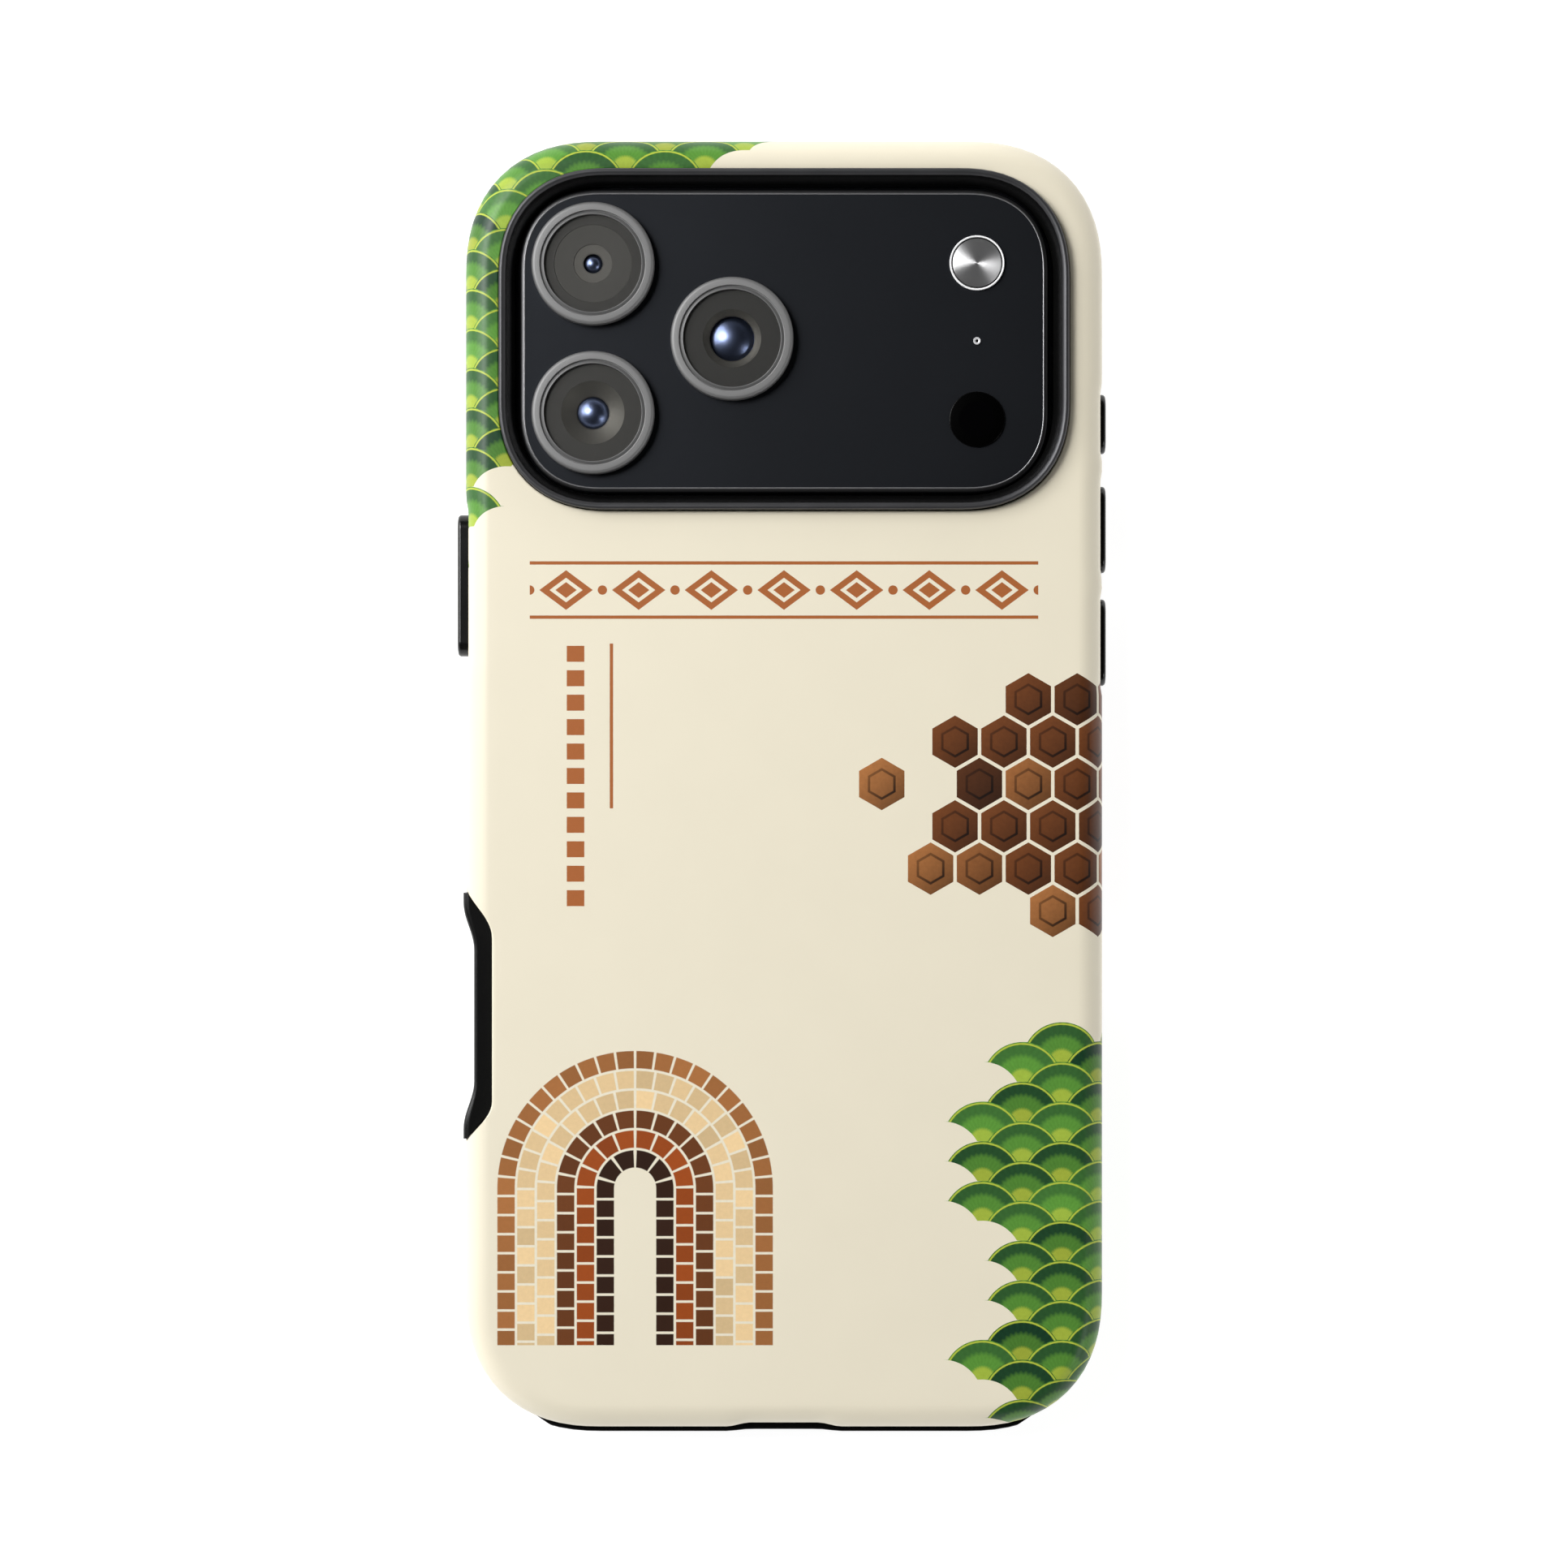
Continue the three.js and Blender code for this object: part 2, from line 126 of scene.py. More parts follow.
# Key covers: their middle and length along the side that they are on, how far they stand out, and
# the dish round each: its depth, how far it reaches past the cover, and the length of its ramps
COVERS = [SimpleNamespace(side=-1, y=26.3, long=18.8, proud=1.3, dish=0.33, reach=2.3, ramp=2.4)]
COVERS += [SimpleNamespace(side=1, y=y, long=long, proud=0.7, dish=0.22, reach=1.3, ramp=1.1)
           for y, long in ((47.7, 7.9), (33.7, 11.5), (18.75, 11.5))]
COVER_HEIGHT = 3.8
COVER_EDGE = 0.45
WINDOW_GAP = 0.4

# Finger scoop in the left side: its plan, the pad that fills it and the slot over the camera key
SCOOP = SimpleNamespace(y=-30.45, half=16.35, start=41.6, deep=38.25, lean=1.0, upper_run=6.1,
                        lower_run=5.2, early=0.3, late=0.6)
PAD = SimpleNamespace(end=42.15, middle=40.75, end_run=1.45, ramp_run=6.3, pull=2.3, edge=0.5,
                      wide=0.75)
KEY_SLOT = (18.4, 4.6)
KEY = SimpleNamespace(length=16.8, height=2.8, depth=0.65, gap=0.15)

# Bottom end: the bumper, whose ends are flush with the shell and slant out from there, the port
# and the dish round it, the sound slots, and the phone's socket, sound holes and contacts
BUMPER = SimpleNamespace(half=33.4, end_y=82.8, run=8.6, proud=0.8, high=8.8, notch_corner=0.4)
PORT = SimpleNamespace(width=13.6, height=5.0, corner=1.6)
DISH = SimpleNamespace(outer=7.65, inner=4.4, shell=0.53, liner=0.27)
SLOT = SimpleNamespace(length=12.5, height=2.6, x=19.5)
SOCKET = SimpleNamespace(width=9.0, height=3.2, depth=6.5)
HOLES = SimpleNamespace(size=1.5, pitch=2.4, depth=1.0, each_side=2)
CONTACTS = SimpleNamespace(pitch=0.5, gap=0.24, start=0.6, half=2.9)

# Bezel's inside: how far it is cut below the phone's back, and how far under and over its foot it
# turns into its slope. Plateau's bead: how deep it is let in, how proud it stands, and the round
# share of its half width
BEZEL = SimpleNamespace(below=1.0, turn_low=0.2, turn_high=0.1)
BEAD = SimpleNamespace(deep=0.1, proud=0.05, round_share=0.9)

# Rounds of small edges. Screen: the ring inside its round edge, its black border, and the camera
# island's half width, distance from the upper edge and radius
EDGES = SimpleNamespace(fine=0.12, rim=0.15, small=0.25, wide=0.3)
SCREEN = SimpleNamespace(ring=0.4, border=1.3, island_half=7.4, island_in=10.5, island_round=2.8)

# Lens ring's section from its round edge inwards, as how far in each point is and how far below
# the top: the flat, the groove, the slope up to the crest, and the inner side
RING_EDGE = 0.5
RING_SECTION = ((1.06, 0.0), (1.1, 0.04), (1.13, 0.32), (1.21, 0.34), (1.5, 0.14), (1.56, 0.08),
                (1.6, 0.06), (1.64, 0.09), (1.65, 0.2))

# Cover glass: its gap to the ring, its edge and thickness, and the air under it. Then how far
# the front lens stays under the barrel's face, and how wide the barrel's steep sides are
GLASS = SimpleNamespace(gap=0.12, edge=0.08, thick=0.12, air=0.03, under=0.1, side=0.04)

# Inside of each lens: how light its flat face is, radius and height of its front lens, then the
# rings of the barrel round it from the outside in, each with its outer radius, the depth of its
# outer and inner side, how light it is and how metallic
BARRELS = {
    "top": (1.0, 1.22, 0.7, ((5.06, 0.06, 0.08, 1.62, 0.0), (2.5, 0.18, 0.22, 2.9, 0.0))),
    "low": (1.0, 2.06, 0.9, ((4.1, 0.04, 0.88, 3.4, 0.7),)),
    "side": (0.65, 2.88, 1.0, ((3.78, 0.04, 0.4, 2.5, 0.7),)),
}

# Flash: how far in from the edge its rim ends and its cone starts, and the depth of the gap
# between them. Then the share of the microphone's radius that is bored, and the shares of the
# sensor's radius where its window ends and its border starts
FLASH = SimpleNamespace(rim=0.24, cone=0.42, gap=0.3)
BORE = 0.42
WINDOW = SimpleNamespace(clear=0.62, border=0.66)

# Motifs of the print, in millimetres on its map, whose middle is the middle of the back
SCALE_RADIUS = 5.2
CELL_WIDTH = 6.4
ARCH = SimpleNamespace(u=-19.5, spring=-53.0, foot=-73.5, outer=18.2, band=2.6, tile=2.5)
LOZENGE = SimpleNamespace(v=25.4, half_row=33.3, number=7, wide=3.5, high=2.6, dot=0.6164,
                          line=3.55)
BARS = SimpleNamespace(u=-27.3, v=0.8, half_width=1.15, half=17.6, pitch=3.2, long=2.1)
THIN = SimpleNamespace(u=-22.6, v=7.6, half_width=0.22, half=10.8)
CLUSTER = SimpleNamespace(u=44.0, v=0.5, stretch=1.25, radius=15.0, ragged=11.0, end=15.0)


def length(description, millimetres):
    return FloatProperty(description=description, default=millimetres * MM, precision=5,
                         unit="LENGTH", subtype="DISTANCE")


def level(description, value, unit="NONE"):
    return FloatProperty(description=description, default=value, min=0.0, unit=unit)


def linear(display):
    """Light of a display level from 0 to 255."""
    share = display / 255
    return share / 12.92 if share <= 0.04045 else ((share + 0.055) / 1.055) ** 2.4


def paint(description, *levels):
    return FloatVectorProperty(description=description, subtype="COLOR", size=3, min=0.0, max=1.0,
                               default=[linear(display) for display in levels])


def named(kind):
    """Names each setting of a group after its key."""
    for key, setting in kind.__annotations__.items():
        setting.keywords["name"] = key.replace("_", " ").capitalize()
    return kind


@named
class CaseSizes(bpy.types.PropertyGroup):
    """Sizes of the shell and the liner."""

    corner: length("Radius of the shell's corners from above", 15.6)
    wall: length("Thickness of the shell's sides", 1.2)
    back: length("Thickness of the shell's back", 1.4)
    fillet: length("Round edge between the shell's back and sides", 3.3)
    cut_edge: length("Round of the edges where the shell is cut away", 0.22)
    gap: length("Clearance between two pieces", 0.2)
    liner_wall: length("Thickness of the liner's sides", 1.3)
    liner_back: length("Thickness of the liner's back", 1.2)
    rim_height: length("Height of the front rim", 2.0)
    rim_thickness: length("How far the rim lies in front of the phone", 0.85)
    rim_overlap: length("How far the rim reaches in over the screen", 0.9)
    rim_edge: length("Round of the rim's outer edge", 0.4)
    opening_x: length("Half the width of the camera opening", 37.4)
    opening_y: length("Half the height of the camera opening", 22.4)
    opening_corner: length("Radius of the opening's corners", 12.8)
    opening_middle: length("Opening's middle above the shell's", 58.18)
    ridge: length("From the opening's edge to the inside of the ridge", 0.85)
    foot: length("From the opening's edge to the bezel's foot", 2.05)
    foot_height: length("Height of the bezel's foot", 11.7)
    bezel_gap: length("Clearance between the shell and the ridge", 0.1)
    bezel_edge: length("Round of the ridge's edges", 0.36)


@named
class PhoneSizes(bpy.types.PropertyGroup):
    """Sizes of the phone and its camera plateau."""

    corner: length("Radius of the phone's corners from above", 12.7)
    back: length("Height of the phone's back under the plateau", 9.75)
    back_edge: length("Round of the edge round the back", 1.6)
    front_edge: length("Round of the edge round the screen", 0.5)
    key_height: length("Height of the middle of the keys and the port", 5.4)
    plateau_x: length("Half the width of the camera plateau", 34.75)
    plateau_y: length("Half the height of the camera plateau", 20.0)
    plateau_corner: length("Radius of the plateau's corners", 9.6)
    plateau_middle: length("Plateau's middle above the shell's", 58.1)
    plateau_edge: length("Round of the plateau's edge", 0.7)
    # The line is a proud band painted bright, partly a painted highlight
    bead: length("Width of the polished line round the plateau", 0.22)


@named
class Paints(bpy.types.PropertyGroup):
    """Colours of the print and of the other finishes."""

    cream: paint("Bare shell", 234, 226, 204)
    dark_green: paint("Outer bands of the scales", 22, 66, 40)
    green: paint("Middle bands of the scales", 84, 138, 52)
    lime: paint("Hearts of the scales", 178, 192, 66)
    dark_roast: paint("Darkest brown of the print", 48, 26, 14)
    roast: paint("Middle brown of the print", 104, 58, 28)
    light_roast: paint("Lightest brown of the print", 160, 104, 58)
    amber: paint("Warm bands of the arch", 150, 70, 24)
    foam: paint("Pale bands of the arch", 226, 196, 148)
    terracotta: paint("Lozenges and bars", 168, 98, 52)
    rubber: paint("Liner", 9, 9, 9)
    # Ridge: a lighter tone painted along the bezel's crest, a painted sheen
    ridge: paint("Polished ridge of the camera bezel", 76, 76, 78)
    plateau: paint("Phone's back and camera plateau", 43, 45, 49)
    # Bead: a bright tone, partly a painted highlight, on the plateau's bead and, darkened, on its
    # round edge
    bead: paint("Polished line round the plateau", 152, 152, 154)
    ring: paint("Lens rings", 130, 130, 130)
    barrel: paint("Painted inside of the lenses", 47, 46, 43)
    coating: paint("What the front lenses mirror", 114, 126, 158)


@named
class StageSettings(bpy.types.PropertyGroup):
    """Camera, lights and floor."""

    camera_height: length("Height of the camera over the floor", 557.5)
    focal_length: level("Camera's focal length in mm", 95.5, "CAMERA")
    key_power: level("Power of the wide low light", 4.0, "POWER")
    top_power: level("Power of the light over the key light", 4.4, "POWER")
    fill_power: level("Power of the small light opposite", 0.8, "POWER")
    room_light: level("Strength of the walls' even light", 1.15)
    ceiling_light: level("Strength of the light overhead", 0.004)
    floor: paint("Colour of the light table under the phone", 172, 172, 172)
    floor_light: level("Strength of the light table", 2.2)
    floor_half: length("Half the width of the floor", 3000.0)
    floor_drop: length("Gap under the part, so that no two faces coincide", 0.02)


def in_millimetres(group):
    return SimpleNamespace(**{name: getattr(group, name) / MM
                              for name in type(group).__annotations__})


class Number:
    """A value in a finish. Python's signs on it add Math nodes, where | gives the larger of two
    values and & the smaller."""

    def __init__(self, finish, socket):
        self.finish = finish
        self.socket = socket

    def __rsub__(self, other):
        return self.finish.math("SUBTRACT", other, self)

    def __floordiv__(self, other):
        return self.finish.math("FLOOR", self / other)


def sign(operation):
    """Method that adds a Math node of one operation."""
    return lambda number, *others: number.finish.math(operation, number, *others)


SIGNS = {
    "__add__": "ADD", "__radd__": "ADD", "__sub__": "SUBTRACT", "__mul__": "MULTIPLY",
    "__rmul__": "MULTIPLY", "__truediv__": "DIVIDE", "__mod__": "FLOORED_MODULO",
    "__lt__": "LESS_THAN", "__gt__": "GREATER_THAN", "__or__": "MAXIMUM", "__and__": "MINIMUM",
    "__abs__": "ABSOLUTE", "__round__": "ROUND",
}
for method, operation in SIGNS.items():
    setattr(Number, method, sign(operation))


class Finish:
    """A material, or the world, written as sums."""

    def __init__(self, name, kind="materials"):
        self.block = getattr(bpy.data, kind).new(name)
        self.block.use_nodes = True
        self.tree = self.block.node_tree
        self.tree.nodes.clear()

    def node(self, kind, settings=None, sockets=None, output=0):
        """Any node: its settings first, then the values or links of its sockets."""
        made = self.tree.nodes.new("ShaderNode" + kind)
        for name, setting in (settings or {}).items():
            setattr(made, name, setting)
        for name, value in (sockets or {}).items():
            socket = made.inputs[name]
            if isinstance(value, Number):
                self.tree.links.new(value.socket, socket)
            else:
                socket.default_value = (*value, 1.0) if socket.type == "RGBA" else value
        return Number(self, made.outputs[output]) if made.outputs else None

    def math(self, operation, *values):
        return self.node("Math", {"operation": operation}, dict(enumerate(values)))

    def reach(self, x, y):
        """Length of a step along X and Y."""
        return self.math("SQRT", x * x + y * y)

    def ease(self, value, start, end, low=0.0, high=1.0):
        """The low number at start and the high one at end, with a soft way between."""
        return self.node("MapRange", {"interpolation_type": "SMOOTHSTEP"}, {
            "Value": value, "From Min": start, "From Max": end, "To Min": low, "To Max": high,
        })

    def ramp(self, value, *stops):
        """A colour for each value, from the places and tones of the stops."""
        colour = self.node("ValToRGB", sockets={"Fac": value})
        elements = colour.socket.node.color_ramp.elements
        while len(elements) < len(stops):
            elements.new(1.0)
        for element, (place, tone) in zip(elements, stops):
            element.position = place
            element.color = (*tone, 1.0)
        return colour

    def mix(self, share, first, second):
        """From the first colour to the second."""
        return self.node("Mix", {"data_type": "RGBA"}, {0: share, 6: first, 7: second}, 2)

    def shade(self, tone, level):
        """A colour made lighter or darker by a number."""
        return self.node("VectorMath", {"operation": "SCALE"}, {0: tone, "Scale": level})

    def place(self):
        """Millimetres from the middle of the shell."""
        spot = self.node("TexCoord", output="Object")
        return self.node("Mapping", sockets={
            "Vector": spot, "Location": -MIDDLE, "Scale": (1 / MM, 1 / MM, 1 / MM),
        })

    def apart(self, vector):
        split = self.node("SeparateXYZ", sockets={0: vector}).socket.node
        return [Number(self, socket) for socket in split.outputs]

    def grain(self, where, spacing, detail=2.0, roughness=0.5):
        """Soft noise from 0 to 1 with features about as far apart as the spacing."""
        return self.node("TexNoise", sockets={
            "Vector": where, "Scale": 1 / spacing, "Detail": detail, "Roughness": roughness,
        })

    def chance(self, x, y):
        """A steady random number for each cell."""
        cell = self.node("CombineXYZ", sockets={0: x, 1: y})
        return self.node("TexWhiteNoise", {"noise_dimensions": "2D"}, {"Vector": cell})

    def bump(self, height, millimetres):
        return self.node("Bump", sockets={"Distance": millimetres * MM, "Height": height})

    def away(self, middle):
        """How far a point is from an upright axis."""
        x, y, _ = self.apart(self.place())
        return self.reach(x - middle[0], y - middle[1])

    def surface(self, **sockets):
        """Shows a Principled shader whose sockets are named in lower case."""
        titled = {name.replace("_", " ").title().replace("Ior", "IOR"): value
                  for name, value in sockets.items()}
        self.show(self.node("BsdfPrincipled", sockets=titled))

    def show(self, shader, output="OutputMaterial"):
        self.node(output, sockets={"Surface": shader})


def eased(share):
    share = min(max(share, 0.0), 1.0)
    return share * share * (3 - 2 * share)


def quarter(radius, steps):
    """A quarter round: how far each step is drawn in, and how far it is below the top."""
    turns = [math.pi / 2 * step / steps for step in range(steps + 1)]
    return [(radius * (1 - math.cos(turn)), radius * (1 - math.sin(turn))) for turn in turns]


class Outline:
    """A rounded rectangle in plan that can be drawn larger or smaller all round."""

    def __init__(self, half_x, half_y, corner, y=0.0, steps=CORNER_STEPS, full=True):
        self.half_x, self.half_y, self.corner = half_x, half_y, corner
        self.y, self.steps, self.full = y, steps, full

    def grown(self, by):
        return Outline(self.half_x + by, self.half_y + by, self.corner + by, self.y, self.steps,
                       self.full)

    def face(self, bm, z):
        before = set(bm.faces)
        corners = bmesh.ops.create_grid(bm, x_segments=1, y_segments=1, size=1.0)["verts"]
        bmesh.ops.scale(bm, vec=(self.half_x, self.half_y, 1.0), verts=corners)
        bmesh.ops.translate(bm, vec=(0.0, self.y, z), verts=corners)
        reach = self.corner * (CORNER_REACH if self.full else 1.0)
        bmesh.ops.bevel(bm, geom=corners, offset=reach, offset_type="OFFSET",
                        segments=self.steps, affect="VERTICES", material=-1,
                        profile=FULL_PROFILE if self.full else ROUND_PROFILE)
        return (set(bm.faces) - before).pop()


class Plan:
    """An outline given by its points that cuts in from the left, so it grows to the right. Where
    shares are given, each point moves by its own share of the growth."""

    def __init__(self, points, shares=None):
        self.points = points
        self.shares = shares or [1.0] * len(points)

    def grown(self, by):
        moved = [(x + by * share, y) for (x, y), share in zip(self.points, self.shares)]
        return Plan(moved, self.shares)

    def face(self, bm, z):
        return bm.faces.new([bm.verts.new((x, y, z)) for x, y in self.points])


def pill(long, high, steps=10):
    """A slot's outline with round ends."""
    return Outline(long / 2, high / 2, high / 2 - NEAR, 0.0, steps, False)


def loft(outline, levels):
    """Closed solid through one outline at several heights, drawn in by an inset at each."""
    bm = bmesh.new()
    faces = [outline.grown(-inset).face(bm, z) for inset, z in levels]
    loops = [list(face.edges) for face in faces]
    bmesh.ops.delete(bm, geom=faces[1:-1], context="FACES_ONLY")
    for below, above in zip(loops, loops[1:]):
        bmesh.ops.bridge_loops(bm, edges=below + above)
    bmesh.ops.recalc_face_normals(bm, faces=bm.faces[:])
    return bm


def slab(outline, low, high, low_edge=0.0, high_edge=0.0, steps=8, ring=0.0):
    """Upright solid with round edges and, where asked, a flat ring inside each of them."""
    levels = [(inset, low + drop) for inset, drop in reversed(quarter(low_edge, steps))]
    levels += [(inset, high - drop) for inset, drop in quarter(high_edge, steps)]
    if not low_edge:
        levels = levels[steps:]
    if not high_edge:
        levels = levels[:-steps]
    if ring:
        levels = [(low_edge + ring, low), *levels, (high_edge + ring, high)]
    return loft(outline, levels)


def flared(outline, low, high, edge, steps=4):
    """Cutter that leaves a round edge where it comes out at its upper height."""
    rise = [(-inset, high - drop) for inset, drop in quarter(edge, steps)]
    return loft(outline, [(0.0, low), *rise, (-edge, high + BEYOND)])


def bezier(*knots, steps=14):
    """Points of a curve in plan."""
    return [point.xy for point in interpolate_bezier(*[Vector((*knot, 0.0)) for knot in knots], steps)]


def rounded(radius, top, edge, steps=4):
    """Round upper edge of a turned solid, from the outside in."""
    return [(radius - inset, top - drop) for inset, drop in quarter(edge, steps)]


def turned(profile, middle, steps=ROUND_STEPS):
    """Round solid about an upright axis, from the radii and heights of its section."""
    bm = bmesh.new()
    verts = [bm.verts.new((radius, 0.0, z)) for radius, z in profile]
    pairs = list(zip(verts, verts[1:]))
    if profile[0][0] > 0.0:
        pairs.append((verts[-1], verts[0]))
    edges = [bm.edges.new(pair) for pair in pairs]
    bmesh.ops.spin(bm, geom=verts + edges, cent=(0.0, 0.0, 0.0), axis=(0.0, 0.0, 1.0),
                   angle=math.tau, steps=steps, use_merge=True)
    bmesh.ops.remove_doubles(bm, verts=bm.verts[:], dist=NEAR)
    bmesh.ops.recalc_face_normals(bm, faces=bm.faces[:])
    bmesh.ops.translate(bm, vec=(*middle, 0.0), verts=bm.verts[:])
    return bm


# What is drawn lying flat is stood up: its length goes along Y with its height outwards to one
# side, or its length along X with its height outwards to the bottom end
TO_SIDE = {side: Matrix(((0, 0, side, 0), (side, 0, 0, 0), (0, 1, 0, 0), (0, 0, 0, 1)))
           for side in (-1, 1)}
TO_LEFT = TO_SIDE[-1]
TO_BOTTOM = Matrix(((1, 0, 0, 0), (0, 0, -1, 0), (0, 1, 0, 0), (0, 0, 0, 1)))


def stood(bm, turn, x=0.0, y=0.0, z=0.0):
    bmesh.ops.transform(bm, matrix=Matrix.Translation((x, y, z)) @ turn, verts=bm.verts[:])
    return bm


def cut_sides(bm, spacing=1.3, shortest=8.0):
    """Cuts the long straight edges of a loft across, so that the sides can be shaped."""
    for axis in (0, 1):
        along = [edge for edge in bm.edges
                 if abs(edge.verts[0].co[axis] - edge.verts[1].co[axis]) > shortest]
        cuts = round(along[0].calc_length() / spacing)
        bmesh.ops.subdivide_edges(bm, edges=along, cuts=cuts, use_grid_fill=True)


def as_object(bm, name):
    mesh = bpy.data.meshes.new(name)
    bm.to_mesh(mesh)
    bm.free()
    made = bpy.data.objects.new(name, mesh)
    bpy.context.scene.collection.objects.link(made)
    return made


def combined(operation, base, *others):
    """Joins solids to a solid, cuts them from it or keeps what they share, as a new mesh."""
    whole = as_object(base, "whole")
    group = bpy.data.collections.new("others")
    bpy.context.scene.collection.children.link(group)
    for other in others:
        made = as_object(other, "other")
        bpy.context.scene.collection.objects.unlink(made)
        group.objects.link(made)
    boolean = whole.modifiers.new("combine", "BOOLEAN")
    boolean.operation = operation
    boolean.operand_type = "COLLECTION"
    boolean.collection = group
    boolean.solver = "MANIFOLD"
    result = whole.evaluated_get(bpy.context.evaluated_depsgraph_get()).to_mesh()
    bm = bmesh.new()
    bm.from_mesh(result)
    for used in [whole, *group.objects]:
        bpy.data.meshes.remove(used.data)
    bpy.data.collections.remove(group)
    bmesh.ops.remove_doubles(bm, verts=bm.verts[:], dist=NEAR)
    if not bm.faces:
        raise RuntimeError(f"{operation} left nothing")
    return bm


def piece(bm, name, finish, slot, *nodes):
    """Sets a mesh down as a finished piece that rides on the frame and stands for its nodes."""
    down = Matrix.Scale(MM, 4) @ Matrix.Translation(MIDDLE)
    bmesh.ops.transform(bm, matrix=down, verts=bm.verts[:])
    made = as_object(bm, name)
    made.data.materials.append(finish.block)
    made.data.shade_smooth()
    made.data.set_sharp_from_angle(angle=SHARP)
    even = made.modifiers.new("even shading", "WEIGHTED_NORMAL")
    even.keep_sharp = True
    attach(made, "root")
    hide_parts(*nodes)
    return made


def opening_outline(case):
    return Outline(case.opening_x, case.opening_y, case.opening_corner, case.opening_middle)


def plateau_outline(phone):
    return Outline(phone.plateau_x, phone.plateau_y, phone.plateau_corner, phone.plateau_middle)


def port_dish(x, depth):
    return depth * eased((DISH.outer - abs(x)) / (DISH.outer - DISH.inner))


def press_in(bm, outline, fillet, bottom):
    """Steps the shell's sides in at the key covers and its bottom end in at the port."""
    for vert in bm.verts:
        x, y, _ = vert.co
        side = math.copysign(1.0, x)
        share = min(max((abs(x) - outline.half_x + fillet) / fillet, 0.0), 1.0)
        for cover in COVERS:
            if cover.side == side:
                inside = cover.long / 2 + cover.reach - abs(y - cover.y)
                vert.co.x -= side * share * cover.dish * eased(inside / cover.ramp)
        share = min(max((-y - outline.half_y + fillet) / fillet, 0.0), 1.0)
        vert.co.y += share * port_dish(x, bottom)


def scoop_points(clearance):
    """The scoop from above, drawn in by a clearance for the pad that fills it."""
    upper = SCOOP.y + SCOOP.half - clearance
    lower = SCOOP.y - SCOOP.half + clearance
    deep = -SCOOP.deep - clearance
    start = -SCOOP.start
    soft = start + SCOOP.lean
    far = -SHELL_X - BEYOND
    return [
        (far, upper), (far, lower),
        *bezier((start, lower), (soft, lower + SCOOP.early * SCOOP.lower_run),
                (deep, lower + SCOOP.late * SCOOP.lower_run), (deep, lower + SCOOP.lower_run)),
        *bezier((deep, upper - SCOOP.upper_run), (deep, upper - SCOOP.late * SCOOP.upper_run),
                (soft, upper - SCOOP.early * SCOOP.upper_run), (start, upper)),
    ]


def hollow_plan():
    """What the scoop's hollow takes off the pad: it is proud at its ends and flat between, and
    its upper edge is rounded more widely at the ends."""
    rise = SCOOP.half - PAD.end_run
    inner = rise - PAD.ramp_run
    ramp = bezier((-PAD.end, rise), (-PAD.end, rise - PAD.pull), (-PAD.middle, inner + PAD.pull),
                  (-PAD.middle, inner))
    face = [(-PAD.end, SCOOP.half), *ramp]
    far = -SHELL_X - 2 * BEYOND
    upper = [(x, SCOOP.y + along) for x, along in face]
    lower = [(x, SCOOP.y - along) for x, along in reversed(face)]
    points = [*upper, *lower, (far, SCOOP.y - SCOOP.half), (far, SCOOP.y + SCOOP.half)]
    shares = [1 + PAD.wide * eased((abs(y - SCOOP.y) - inner) / PAD.ramp_run) for _, y in points]
    return Plan(points, shares)


class CASED_OT_shell(bpy.types.Operator):
    """Hard printed shell with its cut-outs."""

    bl_idname = "cased.shell"
    bl_label = "Printed Shell"

    def execute(self, context):
        case = in_millimetres(context.scene.case_sizes)
        key_height = context.scene.phone_sizes.key_height / MM
        outline = Outline(SHELL_X, SHELL_Y, case.corner)
        body = slab(outline, SHELL_LOW, SHELL_TOP, EDGES.small, case.fillet, steps=10, ring=1.0)
        cut_sides(body)
        press_in(body, outline, case.fillet, DISH.shell)
        cavity = slab(outline.grown(-case.wall), SHELL_LOW - BEYOND, SHELL_TOP - case.back,
                      high_edge=case.fillet - case.wall)
        opening = flared(opening_outline(case), SHELL_TOP - 2 * case.back, SHELL_TOP, case.cut_edge)
        windows = [self.window(cover, case, key_height) for cover in COVERS]
        scoop = flared(Plan(scoop_points(0.0)), -BEYOND, SHELL_TOP, case.cut_edge)
        half, high = BUMPER.half + case.gap, BUMPER.high + case.gap
        notch = slab(Outline(half, high, BUMPER.notch_corner, 0.0, 4, False),
                     SHELL_Y - case.corner, SHELL_Y + BEYOND)
        cuts = [cavity, opening, *windows, scoop, stood(notch, TO_BOTTOM)]
        shell = piece(combined("DIFFERENCE", body, *cuts), "printed_shell", printed_finish(context),
                      "printed_shell", "shell")
        unroll(shell.data, case)
        return {"FINISHED"}

    def window(self, cover, case, key_height):
        face = SHELL_X - cover.dish
        slot = pill(cover.long + 2 * WINDOW_GAP, COVER_HEIGHT + 2 * WINDOW_GAP)
        window = flared(slot, face - 2 * case.wall, face, case.cut_edge)
        return stood(window, TO_SIDE[cover.side], y=cover.y, z=key_height)


def unroll(mesh, case):
    """Print map in millimetres: the back from above, with the sides folded out flat."""
    half_x, half_y = SHELL_X - case.corner, SHELL_Y - case.corner
    start = SHELL_TOP - case.fillet
    spots = []
    for vert in mesh.vertices:
        x, y, z = vert.co / MM - MIDDLE
        rise = min(max((z - start) / case.fillet, 0.0), 1.0)
        turn = math.acos(rise)
        extra = case.fillet * (turn - math.sin(turn)) + max(start - z, 0.0)
        outward = Vector((math.copysign(max(abs(x) - half_x, 0.0), x),
                          math.copysign(max(abs(y) - half_y, 0.0), y)))
        if outward.length > NEAR:
            outward.normalize()
        spots.append((x + outward.x * extra, y + outward.y * extra))
    layer = mesh.uv_layers.new(name="print")
    for corner, loop in zip(layer.uv, mesh.loops):
        corner.vector = spots[loop.vertex_index]


